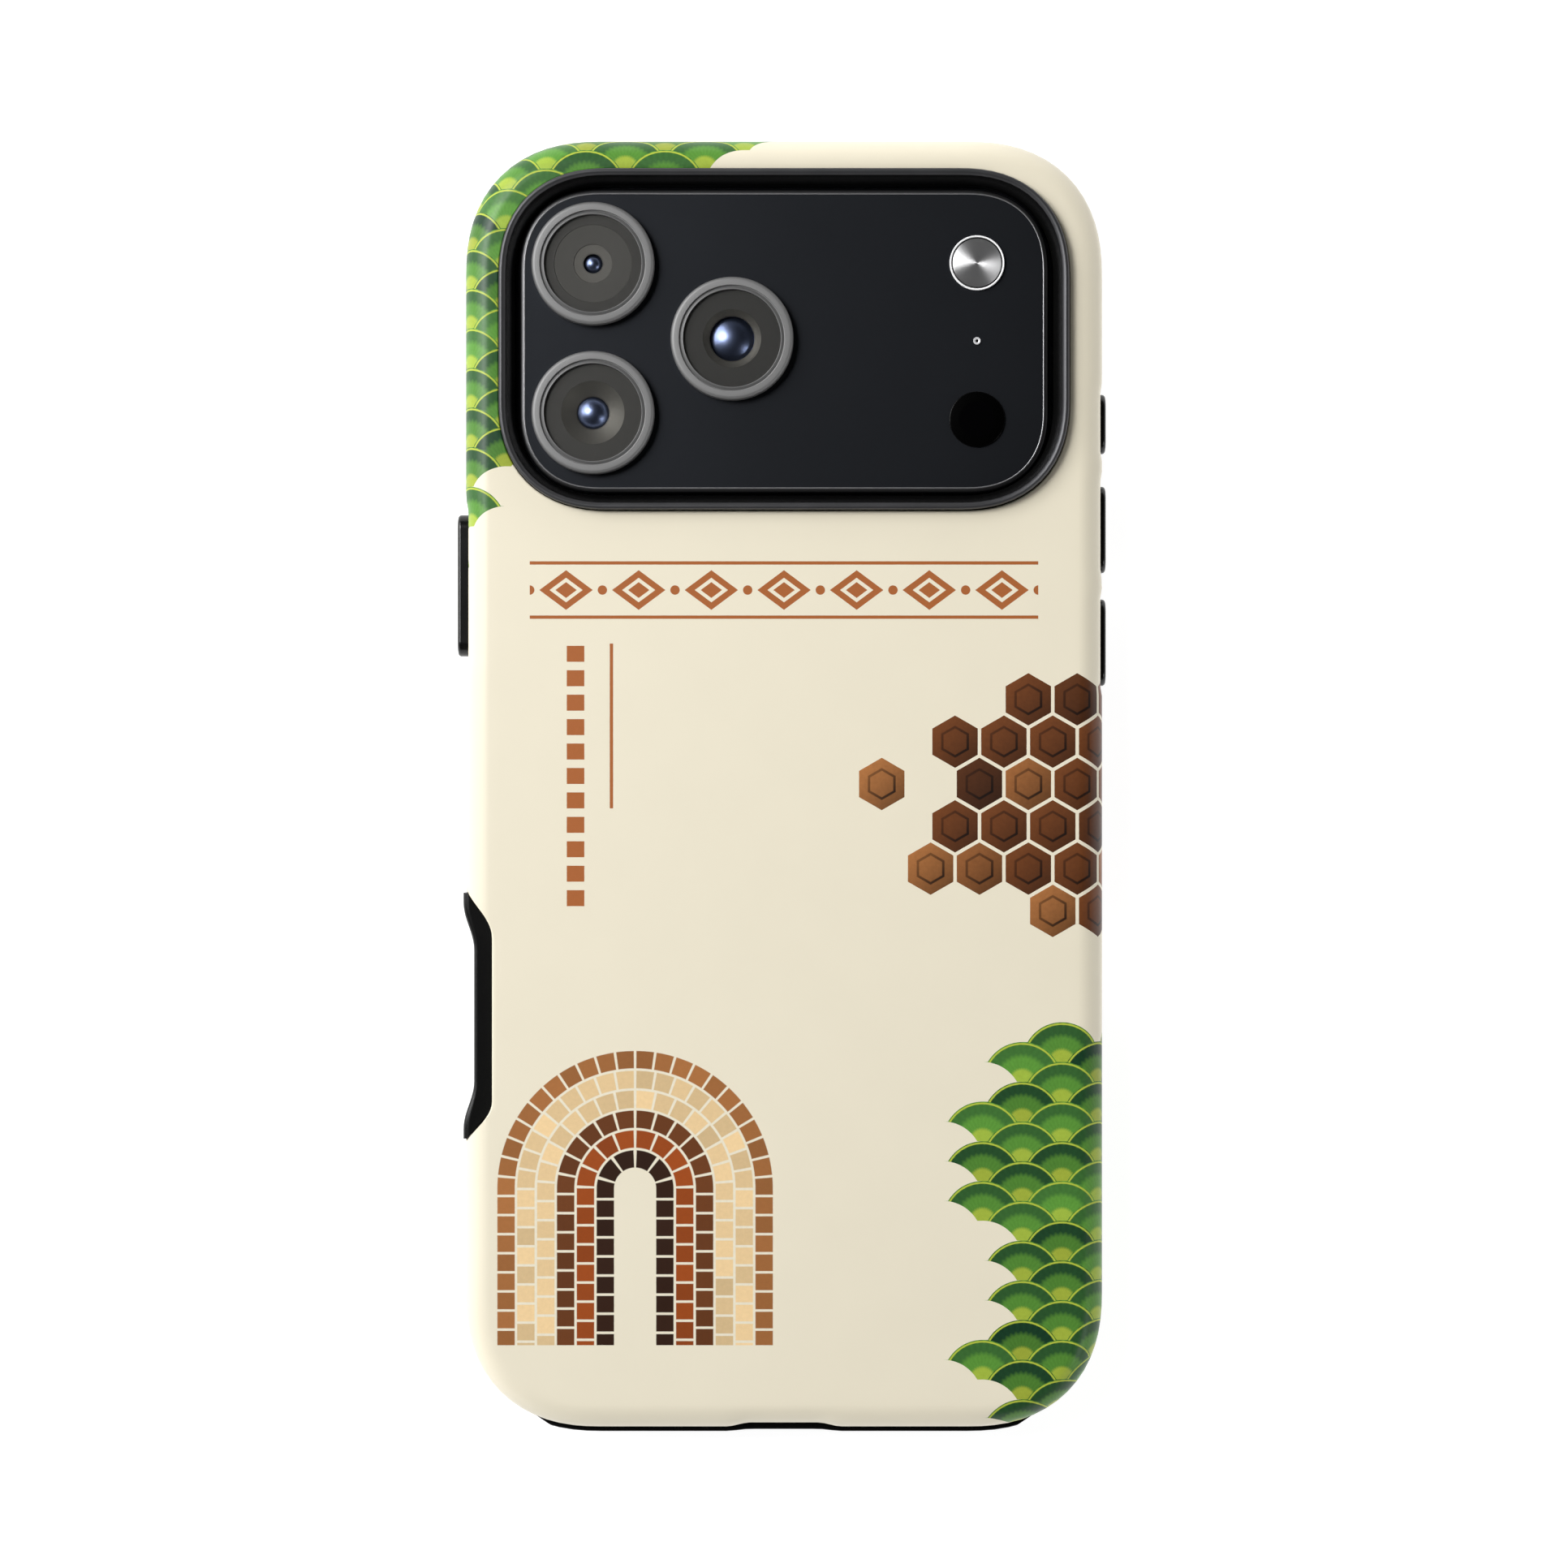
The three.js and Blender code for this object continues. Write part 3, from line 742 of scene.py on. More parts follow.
class CASED_OT_liner(bpy.types.Operator):
    """Rubber liner with the front rim, camera bezel, key covers, scoop pad and bumper."""

    bl_idname = "cased.liner"
    bl_label = "Rubber Liner"

    def execute(self, context):
        case, phone = (in_millimetres(group) for group in
                       (context.scene.case_sizes, context.scene.phone_sizes))
        outer = Outline(SHELL_X, SHELL_Y, case.corner)
        body = Outline(PHONE_X, PHONE_Y, phone.corner)
        cavity = body.grown(case.gap)
        back = phone.back + case.gap + case.liner_back
        wrap = slab(cavity.grown(case.liner_wall), case.rim_edge, back,
                    high_edge=case.fillet - case.wall - case.gap)
        rim = slab(outer, 0.0, case.rim_height, case.rim_edge, EDGES.rim, steps=4)
        opening = opening_outline(case)
        bezel = slab(opening.grown(-case.bezel_gap), back - case.liner_back / 2, BEZEL_TOP,
                     high_edge=case.bezel_edge, steps=6)
        covers = [self.cover(cover, cavity.half_x, phone.key_height) for cover in COVERS]
        scoop = loft(Plan(scoop_points(case.gap)), [(0.0, 0.0), (0.0, back)])
        solid = combined("UNION", wrap, rim, bezel, *covers, scoop, self.bumper(outer, case))

        space = slab(cavity, case.rim_thickness, phone.back + case.gap, case.rim_edge,
                     phone.back_edge)
        front = slab(body.grown(-case.rim_overlap), -BEYOND, case.rim_height)
        hollow = flared(hollow_plan(), -BEYOND, back, PAD.edge, steps=6)
        slot = stood(slab(pill(*KEY_SLOT), PHONE_X, SHELL_X + BEYOND), TO_LEFT, y=SCOOP.y,
                     z=phone.key_height)
        throat = self.throat(opening, case, phone)
        cuts = [space, front, throat, hollow, slot, *self.bottom_holes(phone.key_height)]
        piece(combined("DIFFERENCE", solid, *cuts), "rubber_liner", rubber_finish(context),
              "black_rubber", "liner")
        return {"FINISHED"}

    def cover(self, cover, start, key_height):
        depth = SHELL_X + cover.proud - start
        pad = slab(pill(cover.long, COVER_HEIGHT), 0.0, depth, high_edge=COVER_EDGE, steps=5)
        return stood(pad, TO_SIDE[cover.side], cover.side * start, cover.y, key_height)

    def bottom_holes(self, key_height):
        """The port, and a sound slot on each side of it."""
        port = Outline(PORT.width / 2, PORT.height / 2, PORT.corner, 0.0, 8, False)
        sound = pill(SLOT.length, SLOT.height, 8)
        holes = ((0.0, port, DISH.liner), (-SLOT.x, sound, 0.0), (SLOT.x, sound, 0.0))
        return [stood(flared(hole, PHONE_Y, SHELL_Y + BUMPER.proud - dish, EDGES.wide), TO_BOTTOM,
                      x=x, z=key_height) for x, hole, dish in holes]

    def bumper(self, outer, case):
        bm = slab(outer.grown(BUMPER.proud), 0.0, BUMPER.high, case.rim_edge, EDGES.small, steps=4)
        cut_sides(bm)
        for vert in bm.verts:
            if vert.co.y < 1 - SHELL_Y:
                vert.co.y += port_dish(vert.co.x, DISH.liner)
        half = [(BUMPER.half, case.corner - SHELL_Y), (BUMPER.half, -BUMPER.end_y),
                (BUMPER.half - BUMPER.run, -SHELL_Y - BEYOND)]
        strip = Plan([*half, *[(-x, y) for x, y in reversed(half)]])
        return combined("INTERSECT", bm, loft(strip, [(0.0, -BEYOND), (0.0, 2 * BUMPER.high)]))

    def throat(self, opening, case, phone):
        """Space inside the bezel: straight beside the plateau, then flaring up to the ridge."""
        slope = (case.foot - case.ridge) / (BEZEL_TOP - case.foot_height)
        edge = case.bezel_edge
        round_top = [(case.ridge + slope * drop - inset, BEZEL_TOP - drop)
                     for inset, drop in quarter(edge, 6)]
        return loft(opening, [
            (case.foot, phone.back - BEZEL.below),
            (case.foot, case.foot_height - BEZEL.turn_low),
            (case.foot - slope * BEZEL.turn_high, case.foot_height + BEZEL.turn_high),
            *round_top,
            (case.ridge - edge, BEZEL_TOP + BEYOND),
        ])


class CASED_OT_phone_body(bpy.types.Operator):
    """Phone's frame and back with the camera plateau and the charging socket."""

    bl_idname = "cased.phone_body"
    bl_label = "Phone Body"

    def execute(self, context):
        phone = in_millimetres(context.scene.phone_sizes)
        block = slab(Outline(PHONE_X, PHONE_Y, phone.corner), PHONE_LOW, phone.back,
                     phone.front_edge, phone.back_edge)
        plateau = slab(plateau_outline(phone), phone.back - phone.back_edge, PLATEAU_TOP,
                       high_edge=phone.plateau_edge, steps=10)
        socket = flared(pill(SOCKET.width, SOCKET.height), PHONE_Y - SOCKET.depth, PHONE_Y,
                        EDGES.small)
        cuts = [stood(socket, TO_BOTTOM, z=phone.key_height)]
        cuts += [self.sound_hole(middle + step * HOLES.pitch, phone) for middle in (-SLOT.x, SLOT.x)
                 for step in range(-HOLES.each_side, HOLES.each_side + 1)]
        recess = pill(KEY.length + 2 * KEY.gap, KEY.height + 2 * KEY.gap)
        recess = slab(recess, PHONE_X - KEY.depth - KEY.gap, PHONE_X + BEYOND)
        cuts.append(stood(recess, TO_LEFT, y=SCOOP.y, z=phone.key_height))
        body = combined("DIFFERENCE", combined("UNION", block, plateau), *cuts)
        piece(body, "phone_back", blasted_finish(context), "dark_aluminium", "phone_body")
        self.bead(context, phone)
        return {"FINISHED"}

    def sound_hole(self, x, phone):
        hole = pill(HOLES.size, HOLES.size, 6)
        hole = flared(hole, PHONE_Y - HOLES.depth, PHONE_Y, EDGES.fine)
        return stood(hole, TO_BOTTOM, x, z=phone.key_height)

    def bead(self, context, phone):
        """Bright line where the plateau's round edge ends: a proud metal band that catches the lamps,
        painted bright as a painted highlight.
        """
        outer = plateau_outline(phone).grown(phone.bead / 2 - phone.plateau_edge)
        edge = phone.bead / 2 * BEAD.round_share
        low, high = PLATEAU_TOP - BEAD.deep, PLATEAU_TOP + BEAD.proud
        band = slab(outer, low, high, high_edge=edge, steps=4)
        hole = flared(outer.grown(-phone.bead), low - BEAD.deep, high, edge)
        # Painted highlight: the bead's bright paint stands in for the light line along it, on top of
        # its real gloss
        finish = Finish("polished_bead")
        marks = finish.grain(finish.place(), 0.6, 3.0)
        finish.surface(base_color=finish.shade(context.scene.paints.bead, 0.9 + marks * 0.2),
                       metallic=0.8, roughness=0.3 + marks * 0.1)
        piece(combined("DIFFERENCE", band, hole), "plateau_bead", finish, "dark_aluminium",
              "phone_body")


class CASED_OT_camera_key(bpy.types.Operator):
    """Flush key in the scoop."""

    bl_idname = "cased.camera_key"
    bl_label = "Camera Key"

    def execute(self, context):
        key = slab(pill(KEY.length, KEY.height), PHONE_X - KEY.depth, PHONE_X,
                   high_edge=EDGES.fine, steps=3)
        stood(key, TO_LEFT, y=SCOOP.y, z=context.scene.phone_sizes.key_height / MM)
        piece(key, "camera_key_cap", blasted_finish(context), "dark_aluminium", "camera_key")
        return {"FINISHED"}


class CASED_OT_screen(bpy.types.Operator):
    """Glass that faces down, with a dark border and a camera island."""

    bl_idname = "cased.screen"
    bl_label = "Screen"

    def execute(self, context):
        corner = context.scene.phone_sizes.corner / MM - PHONE_X + SCREEN_X
        glass = slab(Outline(SCREEN_X, SCREEN_Y, corner), SCREEN_LOW, SCREEN_TOP, EDGES.wide,
                     steps=5, ring=SCREEN.ring)
        finish = Finish("screen_glass")
        where = finish.place()
        x, y, _ = finish.apart(where)
        out = finish.reach(abs(x) - (SCREEN_X - corner) | 0.0, abs(y) - (SCREEN_Y - corner) | 0.0)
        lit = out < corner - SCREEN.border
        out = finish.reach(abs(x) - SCREEN.island_half | 0.0, y - (SCREEN_Y - SCREEN.island_in))
        island = out < SCREEN.island_round
        film = finish.mix(lit * (1 - island), (0.0012, 0.0012, 0.0013), (0.0052, 0.0054, 0.0064))
        smears = finish.grain(where, 14.0, 4.0, 0.65)
        finish.surface(base_color=film, roughness=0.05 + smears * 0.06)
        piece(glass, "screen_glass", finish, "screen_glass", "screen")
        return {"FINISHED"}


class CASED_OT_port(bpy.types.Operator):
    """Contact tongue in the charging socket."""

    bl_idname = "cased.port"
    bl_label = "Charging Port"

    def execute(self, context):
        low, high = packed("port_tongue")
        tongue = bmesh.new()
        bmesh.ops.create_cube(tongue, size=1.0)
        bmesh.ops.scale(tongue, vec=high - low, verts=tongue.verts[:])
        bmesh.ops.translate(tongue, vec=(low + high) / 2 - MIDDLE, verts=tongue.verts[:])
        bmesh.ops.bevel(tongue, geom=tongue.edges[:], offset=EDGES.fine, offset_type="OFFSET",
                        segments=3, profile=ROUND_PROFILE, affect="EDGES", material=-1)
        finish = Finish("port_plastic")
        x, y, _ = finish.apart(finish.place())
        contacts = ((x % CONTACTS.pitch) > CONTACTS.gap) * (abs(x) < CONTACTS.half)
        contacts = contacts * (y > low.y - MIDDLE.y + CONTACTS.start)
        finish.surface(base_color=finish.mix(contacts, (0.006, 0.006, 0.006), (0.55, 0.42, 0.2)),
                       metallic=contacts, roughness=0.5 - contacts * 0.2)
        piece(tongue, "port_contacts", finish, "black_plastic", "port_tongue")
        return {"FINISHED"}


class CASED_OT_lens_rings(bpy.types.Operator):
    """Three satin rings, each with a groove from which the inner side rises to a crest."""

    bl_idname = "cased.lens_rings"
    bl_label = "Lens Rings"

    def execute(self, context):
        for name in LENSES:
            middle, outer, base, top = round_place("lens_ring_" + name)
            inwards = [(outer - inset, top - drop) for inset, drop in RING_SECTION]
            profile = [(outer, base), *rounded(outer, top, RING_EDGE, 6), *inwards,
                       (inwards[-1][0], base)]
            piece(turned(profile, middle), "satin_ring_" + name, ring_finish(context, name, middle),
                  "grey_aluminium", "lens_ring_" + name)
        return {"FINISHED"}


class CASED_OT_lens_glasses(bpy.types.Operator):
    """Stepped barrel, front lens and cover glass in each ring."""

    bl_idname = "cased.lens_glasses"
    bl_label = "Lens Glasses"

    def execute(self, context):
        for name in LENSES:
            node = "lens_glass_" + name
            middle, radius, base, top = round_place(node)
            radius -= GLASS.gap
            under = top - GLASS.thick
            self.barrel(context, name, middle, radius, base, under - GLASS.air)
            cover = [(0.0, under), (radius, under), *rounded(radius, top, GLASS.edge), (0.0, top)]
            piece(turned(cover, middle), "cover_glass_" + name, clear_finish(name), "lens_glass",
                  node)
        return {"FINISHED"}

    def barrel(self, context, name, middle, radius, base, face):
        _, pupil, high, rings = BARRELS[name]
        sphere = (pupil ** 2 + high ** 2) / (2 * high)
        turns = [math.asin(pupil / sphere) * step / LENS_STEPS for step in range(LENS_STEPS + 1)]
        lens = [(sphere * math.sin(turn), face - GLASS.under - sphere * (1 - math.cos(turn)))
                for turn in turns]
        inwards = [(radius, base), (radius, face), (rings[0][0] + GLASS.side, face)]
        inner_sides = [ring[0] for ring in rings[1:]] + [pupil]
        for (outer, outer_depth, inner_depth, _, _), inner in zip(rings, inner_sides):
            inwards += [(outer, face - outer_depth), (inner + GLASS.side, face - inner_depth)]
        profile = [*lens, *reversed(inwards), (0.0, base)]
        piece(turned(profile, middle), "barrel_" + name, barrel_finish(context, name, middle),
              "lens_glass", "lens_glass_" + name)


class CASED_OT_flash(bpy.types.Operator):
    """Flash: a turned cone in a bright rim."""

    bl_idname = "cased.flash"
    bl_label = "Flash"

    def execute(self, context):
        middle, radius, base, top = round_place("flash")
        rim, cone, gap = radius - FLASH.rim, radius - FLASH.cone, top - FLASH.gap
        profile = [
            (0.0, top - 0.26), (0.35, top - 0.24), (cone - 0.1, top - 0.1), (cone, top - 0.14),
            (cone, gap), (rim, gap), (rim, top - 0.05), (rim + 0.06, top),
            (radius - 0.06, top), (radius, top - 0.08), (radius, base), (0.0, base),
        ]
        piece(turned(profile, middle), "flash_lamp", flash_finish(middle, rim, cone),
              "flash_metal", "flash")
        return {"FINISHED"}


class CASED_OT_microphone(bpy.types.Operator):
    """Bright eyelet of the microphone."""

    bl_idname = "cased.microphone"
    bl_label = "Microphone"

    def execute(self, context):
        middle, radius, base, top = round_place("microphone")
        bore = radius * BORE
        profile = [
            (0.0, base + 0.03), (bore, base + 0.03), (bore, top - 0.04), (bore + 0.05, top),
            (radius - 0.05, top), (radius, top - 0.05), (radius, base), (0.0, base),
        ]
        finish = Finish("eyelet_steel")
        away = finish.away(middle)
        metal = away > bore
        finish.surface(base_color=finish.mix(metal, (0.002, 0.002, 0.002), (0.85, 0.85, 0.87)),
                       metallic=metal * 0.4, roughness=0.3)
        piece(turned(profile, middle, 40), "microphone_eyelet", finish, "bright_steel",
              "microphone")
        return {"FINISHED"}


class CASED_OT_depth_sensor(bpy.types.Operator):
    """Black window of the depth sensor."""

    bl_idname = "cased.depth_sensor"
    bl_label = "Depth Sensor"

    def execute(self, context):
        middle, radius, base, top = round_place("depth_sensor")
        profile = [(0.0, base), (radius, base), *rounded(radius, top, EDGES.fine), (0.0, top)]
        finish = Finish("sensor_glass")
        away = finish.away(middle)
        border = finish.ease(away, radius * WINDOW.clear, radius * WINDOW.border)
        film = finish.mix(border, (0.0009, 0.0008, 0.001), (0.0005, 0.0005, 0.0005))
        finish.surface(base_color=film, roughness=0.12 + border * 0.1, specular_ior_level=0.1)
        piece(turned(profile, middle), "sensor_window", finish, "black_glass", "depth_sensor")
        return {"FINISHED"}


def scales(finish, u, v, paints):
    """Overlapping round scales with bands and fine ribs, and the middle of each."""
    radius, rise = SCALE_RADIUS, SCALE_RADIUS / 2
    row = v // rise
    shown = None
    for back in (0, 1):
        level = row - back
        shift = (level % 2.0) * radius
        column = (u + shift) // (2 * radius)
        x = u + shift - (column + 0.5) * (2 * radius)
        y = v - level * rise
        away = finish.reach(x, y) / radius
        found = [away, x, y, column, level]
        inside = away < 1.0
        shown = found if shown is None else [
            front * inside + behind * (1 - inside) for front, behind in zip(found, shown)]
    away, x, y, column, level = shown
    luck = finish.chance(column, level)
    ribs = finish.math("SINE", finish.math("ARCTAN2", x, y) * 34.0)
    bands = finish.ramp(away + ribs * 0.035 * away, (0.0, paints.lime), (0.28, paints.lime),
                        (0.36, paints.green), (0.6, paints.green), (0.72, paints.dark_green),
                        (0.93, paints.dark_green), (1.0, paints.green))
    seam = finish.ease(abs(away - 0.955), 0.03, 0.012)
    tint = finish.mix(luck * 0.45, bands, paints.green)
    tint = finish.shade(tint, 0.72 + luck * 0.5 + ribs * 0.05)
    return finish.mix(seam, tint, paints.lime), u - x, level * rise


def comb(finish, u, v, paints):
    """Six-sided cells in roasted browns, how far out a point is in its cell, and its middle."""
    width, high = CELL_WIDTH, CELL_WIDTH * math.sqrt(3)
    (x, y), other = [((u - shift * width) % width - width / 2, (v - shift * high) % high - high / 2)
                     for shift in (0.0, 0.5)]
    nearer = finish.reach(*other) < finish.reach(x, y)
    x, y = [new * nearer + old * (1 - nearer) for new, old in zip(other, (x, y))]
    slant = abs(x) * 0.5 + abs(y) * math.sqrt(0.75)
    out = (abs(x) | slant) / (width / 2)
    middle_u, middle_v = u - x, v - y
    luck = finish.chance(round(middle_u), round(middle_v))
    base = finish.ramp(luck, (0.0, paints.dark_roast), (0.35, paints.roast), (0.8, paints.roast),
                       (1.0, paints.light_roast))
    groove = finish.ease(abs(out - 0.52), 0.07, 0.03)
    tint = finish.shade(base, 0.85 + (y - x) * 0.09 - groove * 0.55)
    return tint, out, middle_u, middle_v, luck


def arch(finish, u, v, paints):
    """Nested arches of small tiles, and the mask of what they cover."""
    x, y = u - ARCH.u, v - ARCH.spring
    away = finish.reach(x, y | 0.0)
    ring = away // ARCH.band
    mean = (ring + 0.5) * ARCH.band
    leg = finish.math("SIGN", x) * (y * -1.0 | 0.0)
    along = finish.math("ARCTAN2", x, y | 0.0) * mean + leg
    luck = finish.chance(along // ARCH.tile, ring)
    to_joint = finish.math("PINGPONG", along, ARCH.tile / 2)
    to_band = finish.math("PINGPONG", away, ARCH.band / 2)
    grout = finish.ease(to_joint & to_band, 0.22, 0.1)
    tones = finish.ramp(mean / ARCH.outer, (0.0, paints.dark_roast), (0.28, paints.dark_roast),
                        (0.3, paints.amber), (0.42, paints.amber), (0.44, paints.roast),
                        (0.56, paints.roast), (0.58, paints.foam), (0.86, paints.foam),
                        (0.88, paints.light_roast))
    covered = (away < ARCH.outer) * (away > ARCH.band) * (v > ARCH.foot)
    return finish.mix(grout, finish.shade(tones, 0.82 + luck * 0.36), paints.cream), covered


def bars(finish, u, v):
    """Mask of a row of lozenges between two lines, a column of bars and the thin line by it."""
    pitch = 2 * LOZENGE.half_row / LOZENGE.number
    x = (u + pitch / 2) % pitch - pitch / 2
    y = v - LOZENGE.v
    lozenge = abs(x) / LOZENGE.wide + abs(y) / LOZENGE.high
    hollow = (lozenge < 1.0) * (1 - (lozenge < 0.62) * (lozenge > 0.4))
    dots = finish.reach(u % pitch - pitch / 2, y) < LOZENGE.dot
    lines = abs(abs(y) - LOZENGE.line) < THIN.half_width
    masks = [(hollow | dots | lines) * (abs(u) < LOZENGE.half_row)]
    for column in (BARS, THIN):
        masks.append((abs(u - column.u) < column.half_width) * (abs(v - column.v) < column.half))
    return masks[0] | masks[1] * (v % BARS.pitch < BARS.long) | masks[2]


def printed_finish(context):
    """Satin cream plastic dyed with scales, cells, tiled arches and lozenges."""
    paints = context.scene.paints
    finish = Finish("printed_plastic")
    print_map = finish.node("UVMap", {"uv_map": "print"})
    u, v, _ = finish.apart(print_map)
    wander = finish.grain(print_map, 9.0)
    fine = finish.grain(print_map, 0.55, 3.0, 0.6)

    # Whole scales fill the upper left and the lower right corner out to a ragged edge
    scale, scale_u, scale_v = scales(finish, u, v, paints)
    luck = finish.chance(round(scale_u) * 0.5, round(scale_v) * 0.5)
    upper = scale_u * 0.62 < scale_v * 0.55 - 48.5 + luck * 7.0
    right = 24.0 + luck * 6.0 + (scale_v + 45.0 | 0.0) * 0.55
    grown = upper | (scale_v < -30.0 - luck * 5.0) * (scale_u > right)

    # Whole cells lie in a cluster with a ragged edge
    cell, out, cell_u, cell_v, cell_luck = comb(finish, u, v, paints)
    away = finish.reach((cell_u - CLUSTER.u) / CLUSTER.stretch, cell_v - CLUSTER.v)
    cluster = away < CLUSTER.radius + cell_luck * CLUSTER.ragged
    cluster = cluster * (out < 0.93) * (cell_v < CLUSTER.end)

    # From the lowest layer up: mask, tone and how much the fine grain varies it
    tiles, covered = arch(finish, u, v, paints)
    ink = finish.shade(paints.cream, 0.985 + wander * 0.03)
    layers = ((grown, scale, 0.28), (cluster, cell, 0.4), (covered, tiles, 0.16),
              (bars(finish, u, v), paints.terracotta, 0.12))
    for mask, tone, grainy in layers:
        ink = finish.mix(mask, ink, finish.shade(tone, 1 - grainy / 2 + fine * grainy))
    skin = finish.grain(finish.place(), 0.9)
    finish.surface(base_color=ink, roughness=0.36 + wander * 0.06, specular_ior_level=0.3,
                   coat_weight=0.1, coat_roughness=0.22, normal=finish.bump(skin, 0.003))
    return finish


def rubber_finish(context):
    """Black rubber with a fine dull skin and a painted sheen along the bezel's ridge, where it is
    lighter and metallic so that it also glints under the lamps.
    """
    paints = context.scene.paints
    finish = Finish("black_rubber")
    where = finish.place()
    _, _, z = finish.apart(where)
    skin = finish.grain(where, 0.22, 3.0, 0.6)
    patches = finish.grain(where, 7.0)
    # Painted sheen: a band along the bezel's crest is painted lighter and made metallic, standing in
    # for the highlight along it
    painted_sheen_low, painted_sheen_high = BEZEL_TOP - 0.4, BEZEL_TOP - 0.2
    ridge = finish.ease(z, painted_sheen_low, painted_sheen_high)
    tone = finish.mix(ridge, paints.rubber, paints.ridge)
    finish.surface(base_color=finish.shade(tone, 0.8 + patches * 0.4), metallic=ridge * 0.8,
                   roughness=0.2 + patches * 0.04 + skin * 0.03 + ridge * 0.2,
                   normal=finish.bump(skin, 0.004))
    return finish


def blasted_finish(context):
    """Aluminium blasted to a fine even grain and dyed, with a painted highlight on the plateau's round
    edge, where it is lighter and so mirrors more.
    """
    paints = context.scene.paints
    finish = Finish("dyed_aluminium")
    where = finish.place()
    _, _, z = finish.apart(where)
    sand = finish.grain(where, 0.09, 2.0, 0.7)
    patches = finish.grain(where, 18.0)
    # Painted highlight: the band of the plateau's round edge under its flat top takes a lighter tone
    # from the bead's paint
    painted_sheen_low, painted_sheen_high, flat = PLATEAU_TOP - 0.24, PLATEAU_TOP - 0.14, PLATEAU_TOP - 0.002
    edge = finish.ease(z, painted_sheen_low, painted_sheen_high) * finish.ease(z, flat, flat - 0.008)
    tone = finish.mix(edge, paints.plateau, finish.shade(paints.bead, 0.27))
    finish.surface(base_color=finish.shade(tone, 0.9 + patches * 0.2), metallic=0.95,
                   roughness=0.36 + sand * 0.1, specular_ior_level=0.3,
                   normal=finish.bump(sand, 0.003))
    return finish


def ring_finish(context, name, middle):
    """Satin aluminium with fine turning marks."""
    finish = Finish("turned_ring_" + name)
    away = finish.away(middle)
    marks = turning_marks(finish, away, 14.0)
    finish.surface(base_color=finish.shade(context.scene.paints.ring, 0.92 + marks * 0.16),
                   metallic=0.7, roughness=0.52 + marks * 0.1, normal=finish.bump(marks, 0.004))
    return finish


def turning_marks(finish, away, fineness):
    """Fine rings round an axis, from 0 to 1."""
    return finish.node("TexNoise", {"noise_dimensions": "1D"},
                       {"W": away, "Scale": fineness, "Detail": 3.0, "Roughness": 0.7})


def barrel_finish(context, name, middle):
    """Dark painted barrel, turned smooth where it is a cone, with a coated front lens."""
    paints = context.scene.paints
    level, pupil, _, rings = BARRELS[name]
    finish = Finish("lens_barrel_" + name)
    away = finish.away(middle)
    metal = 0.0
    for outer, _, _, light, metallic in rings:
        inside = away < outer + 0.03
        level = level * (1 - inside) + inside * light
        metal = metal * (1 - inside) + inside * metallic
    rim = finish.ease(abs(away - pupil), 0.25, 0.03)
    lens = away < pupil
    marks = turning_marks(finish, away, 8.0)
    tone = finish.shade(paints.barrel, level * (0.94 + marks * 0.12) * (1 - rim * 0.5))
    finish.surface(base_color=finish.mix(lens, tone, paints.coating),
                   metallic=metal * (1 - lens) + lens, roughness=0.55 - lens * 0.23,
                   specular_ior_level=0.4)
    return finish


def clear_finish(name):
    """Clear cover glass with a faint reflection on the side that faces out."""
    finish = Finish("clear_glass_" + name)
    smears = finish.grain(finish.place(), 3.0, 3.0)
    clear = finish.node("BsdfTransparent")
    gloss = finish.node("BsdfGlossy", sockets={"Roughness": 0.03 + smears * 0.03})
    inner_side = finish.node("NewGeometry", output="Backfacing")
    mirrored = finish.node("Fresnel", sockets={"IOR": 1.45}) * (1 - inner_side)
    finish.show(finish.node("MixShader", sockets={0: mirrored, 1: clear, 2: gloss}))
    return finish


def flash_finish(middle, rim, edge):
    """Bright metal with turning marks that glints to two sides, and a dark gap inside its rim."""
    finish = Finish("turned_flash")
    away = finish.away(middle)
    marks = turning_marks(finish, away, 30.0)
    cone = away < edge
    level = cone * (0.46 + marks * 0.14) + (away > rim) * 0.95 + 0.03
    finish.surface(base_color=finish.shade((1.0, 1.0, 1.01), level), metallic=cone * 0.9,
                   roughness=0.34 + marks * 0.1, anisotropic=0.9, anisotropic_rotation=0.25,
                   normal=finish.bump(marks, 0.003))
    return finish


# Where each light is and how wide and high it is, in metres
LIGHTS = {
    "key": ((-0.59, 0.34, 0.49), (0.8, 0.4)),
    "top": ((-0.41, 0.235, 0.7), (0.4, 0.3)),
    "fill": ((0.6, -0.33, 0.5), (0.3, 0.3)),
}


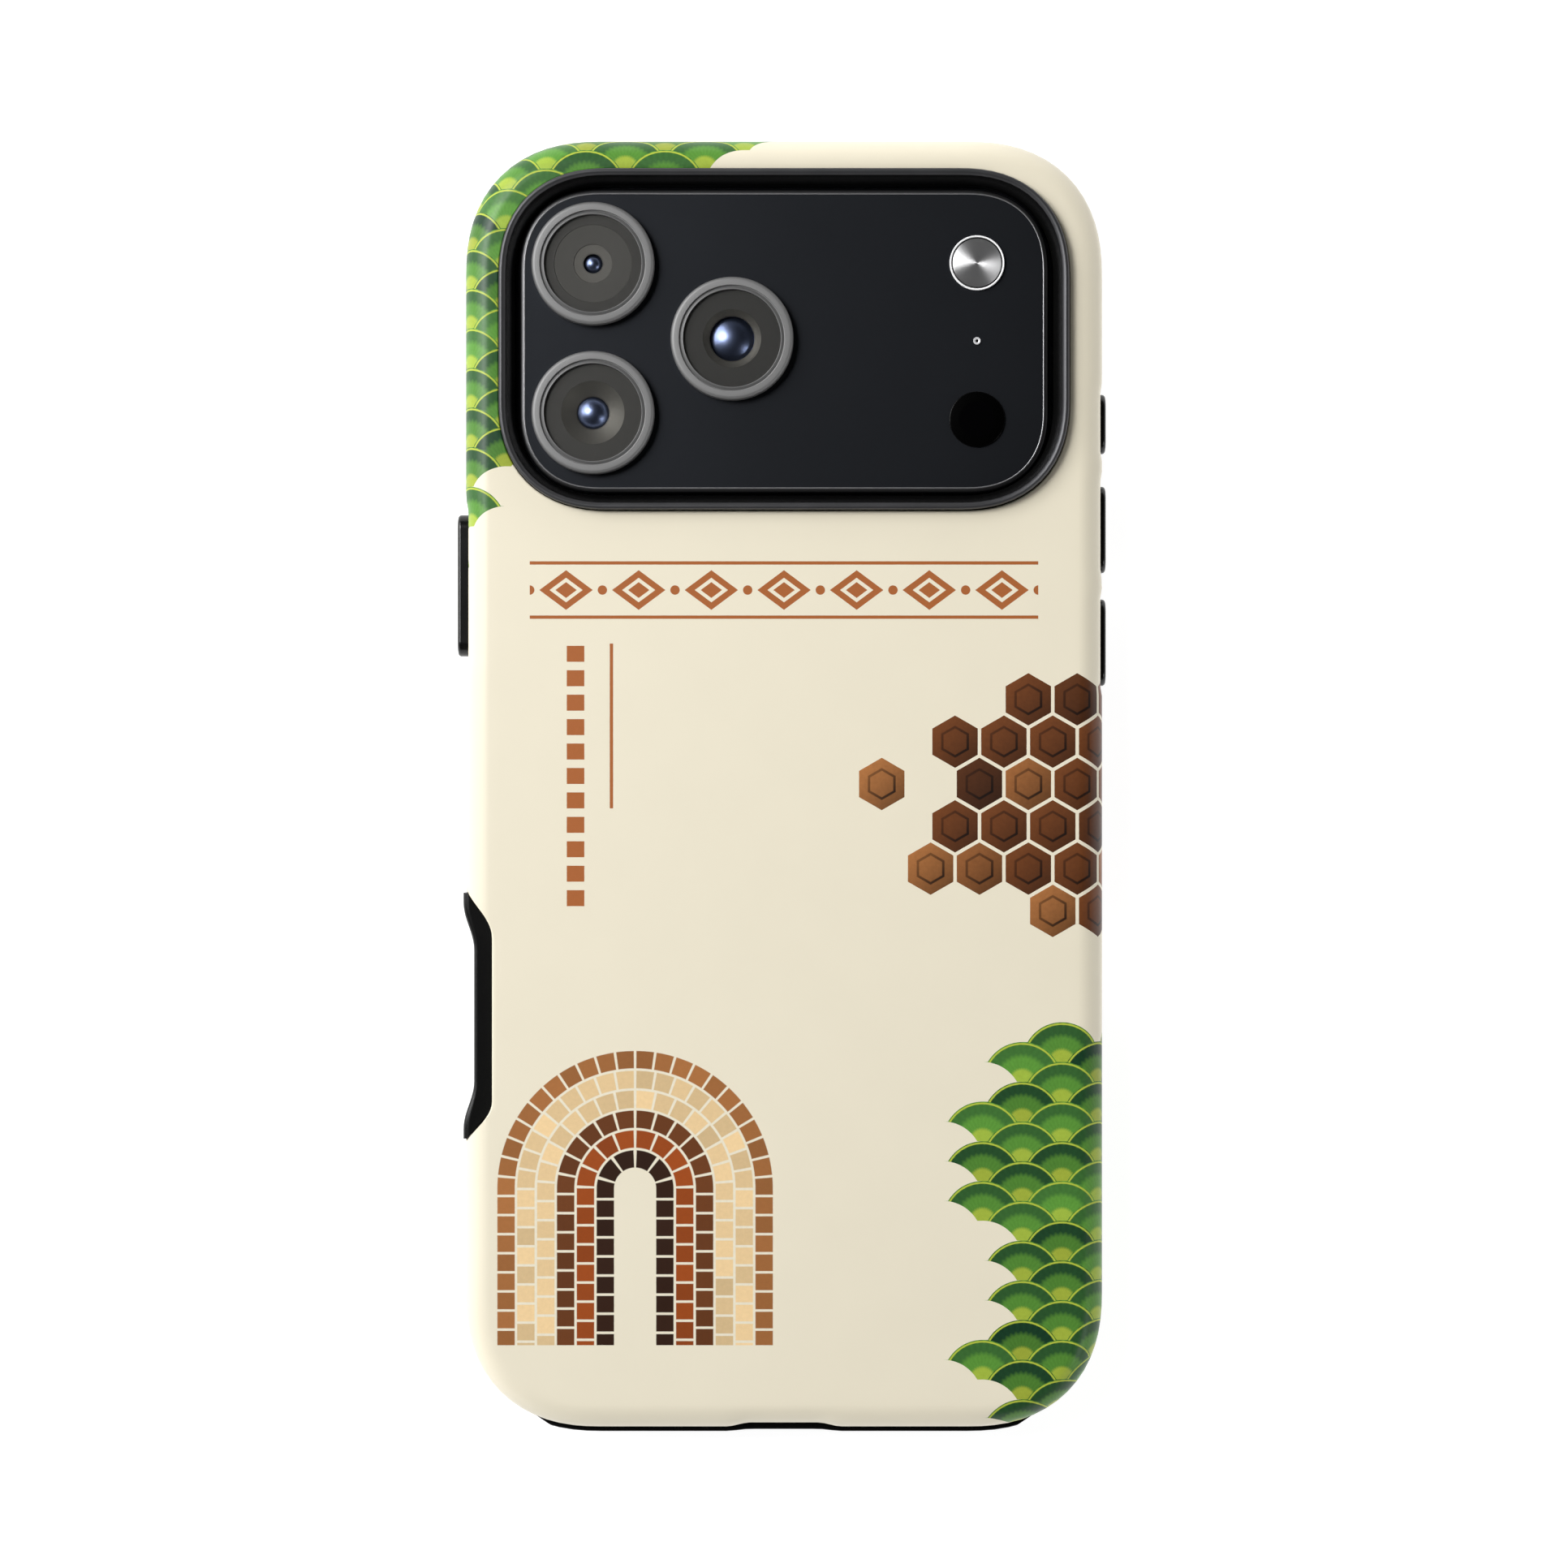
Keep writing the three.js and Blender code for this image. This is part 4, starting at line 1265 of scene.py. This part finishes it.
class CASED_OT_stage(bpy.types.Operator):
    """Light table, three lights and a camera that looks straight down."""

    bl_idname = "cased.stage"
    bl_label = "Stage"

    def execute(self, context):
        stage = context.scene.stage_settings
        bm = bmesh.new()
        bmesh.ops.create_grid(bm, x_segments=1, y_segments=1, size=stage.floor_half)
        bmesh.ops.translate(bm, vec=(0.0, 0.0, -stage.floor_drop), verts=bm.verts[:])
        ground = as_object(bm, "floor")
        finish = Finish("floor_paper")
        speckle = finish.grain(finish.place(), 4.0, 3.0)
        finish.surface(base_color=finish.shade(stage.floor, 0.985 + speckle * 0.03), roughness=0.9,
                       specular_ior_level=0.1, emission_color=stage.floor,
                       emission_strength=stage.floor_light)
        ground.data.materials.append(finish.block)

        for name, (place, size) in LIGHTS.items():
            self.light(context, name + " light", place, size, getattr(stage, name + "_power"))
        context.scene.world = self.room(stage)
        context.scene.view_settings.view_transform = "Standard"

        lens = bpy.data.cameras.new("camera")
        lens.lens = stage.focal_length
        camera = bpy.data.objects.new("camera", lens)
        camera.location = (MIDDLE.x * MM, MIDDLE.y * MM, stage.camera_height)
        context.scene.collection.objects.link(camera)
        context.scene.camera = camera
        return {"FINISHED"}

    def room(self, stage):
        """Even light from all round and a dark ceiling, which keeps the black pieces black."""
        room = Finish("room", "worlds")
        _, _, height = room.apart(room.node("TexCoord", output="Generated"))
        walls_end, ceiling_start = 0.25, 0.5
        strength = room.ease(height, walls_end, ceiling_start, stage.room_light,
                             stage.ceiling_light)
        light = room.node("Background", sockets={"Color": (1.0, 1.0, 1.0), "Strength": strength})
        room.show(light, "OutputWorld")
        return room.block

    def light(self, context, name, place, size, power):
        lamp = bpy.data.lights.new(name, "AREA")
        lamp.shape = "ELLIPSE"
        lamp.size, lamp.size_y = size
        lamp.energy = power
        made = bpy.data.objects.new(name, lamp)
        made.location = place
        made.rotation_euler = (-Vector(place)).to_track_quat("-Z", "Y").to_euler()
        context.scene.collection.objects.link(made)


GROUPS = {"case_sizes": CaseSizes, "phone_sizes": PhoneSizes, "paints": Paints,
          "stage_settings": StageSettings}
OPERATORS = (
    CASED_OT_shell, CASED_OT_liner, CASED_OT_phone_body, CASED_OT_camera_key, CASED_OT_screen,
    CASED_OT_port, CASED_OT_lens_rings, CASED_OT_lens_glasses, CASED_OT_flash,
    CASED_OT_microphone, CASED_OT_depth_sensor, CASED_OT_stage,
)


class CASED_PT_sidebar(bpy.types.Panel):
    """Every piece's button and every size and colour."""

    bl_idname = "CASED_PT_sidebar"
    bl_label = "Cased Phone"
    bl_space_type = "VIEW_3D"
    bl_region_type = "UI"
    bl_category = "Cased Phone"

    def draw(self, context):
        for operator in OPERATORS:
            self.layout.operator(operator.bl_idname)
        for group, kind in GROUPS.items():
            box = self.layout.box()
            for name in kind.__annotations__:
                box.prop(getattr(context.scene, group), name)


def register():
    for kind in (*GROUPS.values(), *OPERATORS, CASED_PT_sidebar):
        bpy.utils.register_class(kind)
    for group, kind in GROUPS.items():
        setattr(bpy.types.Scene, group, PointerProperty(type=kind))


def unregister():
    for group in GROUPS:
        delattr(bpy.types.Scene, group)
    for kind in (CASED_PT_sidebar, *reversed(OPERATORS), *GROUPS.values()):
        bpy.utils.unregister_class(kind)


def main():
    register()
    for operator in OPERATORS:
        getattr(bpy.ops.cased, operator.bl_idname.split(".")[1])()


if __name__ == "__main__":
    main()
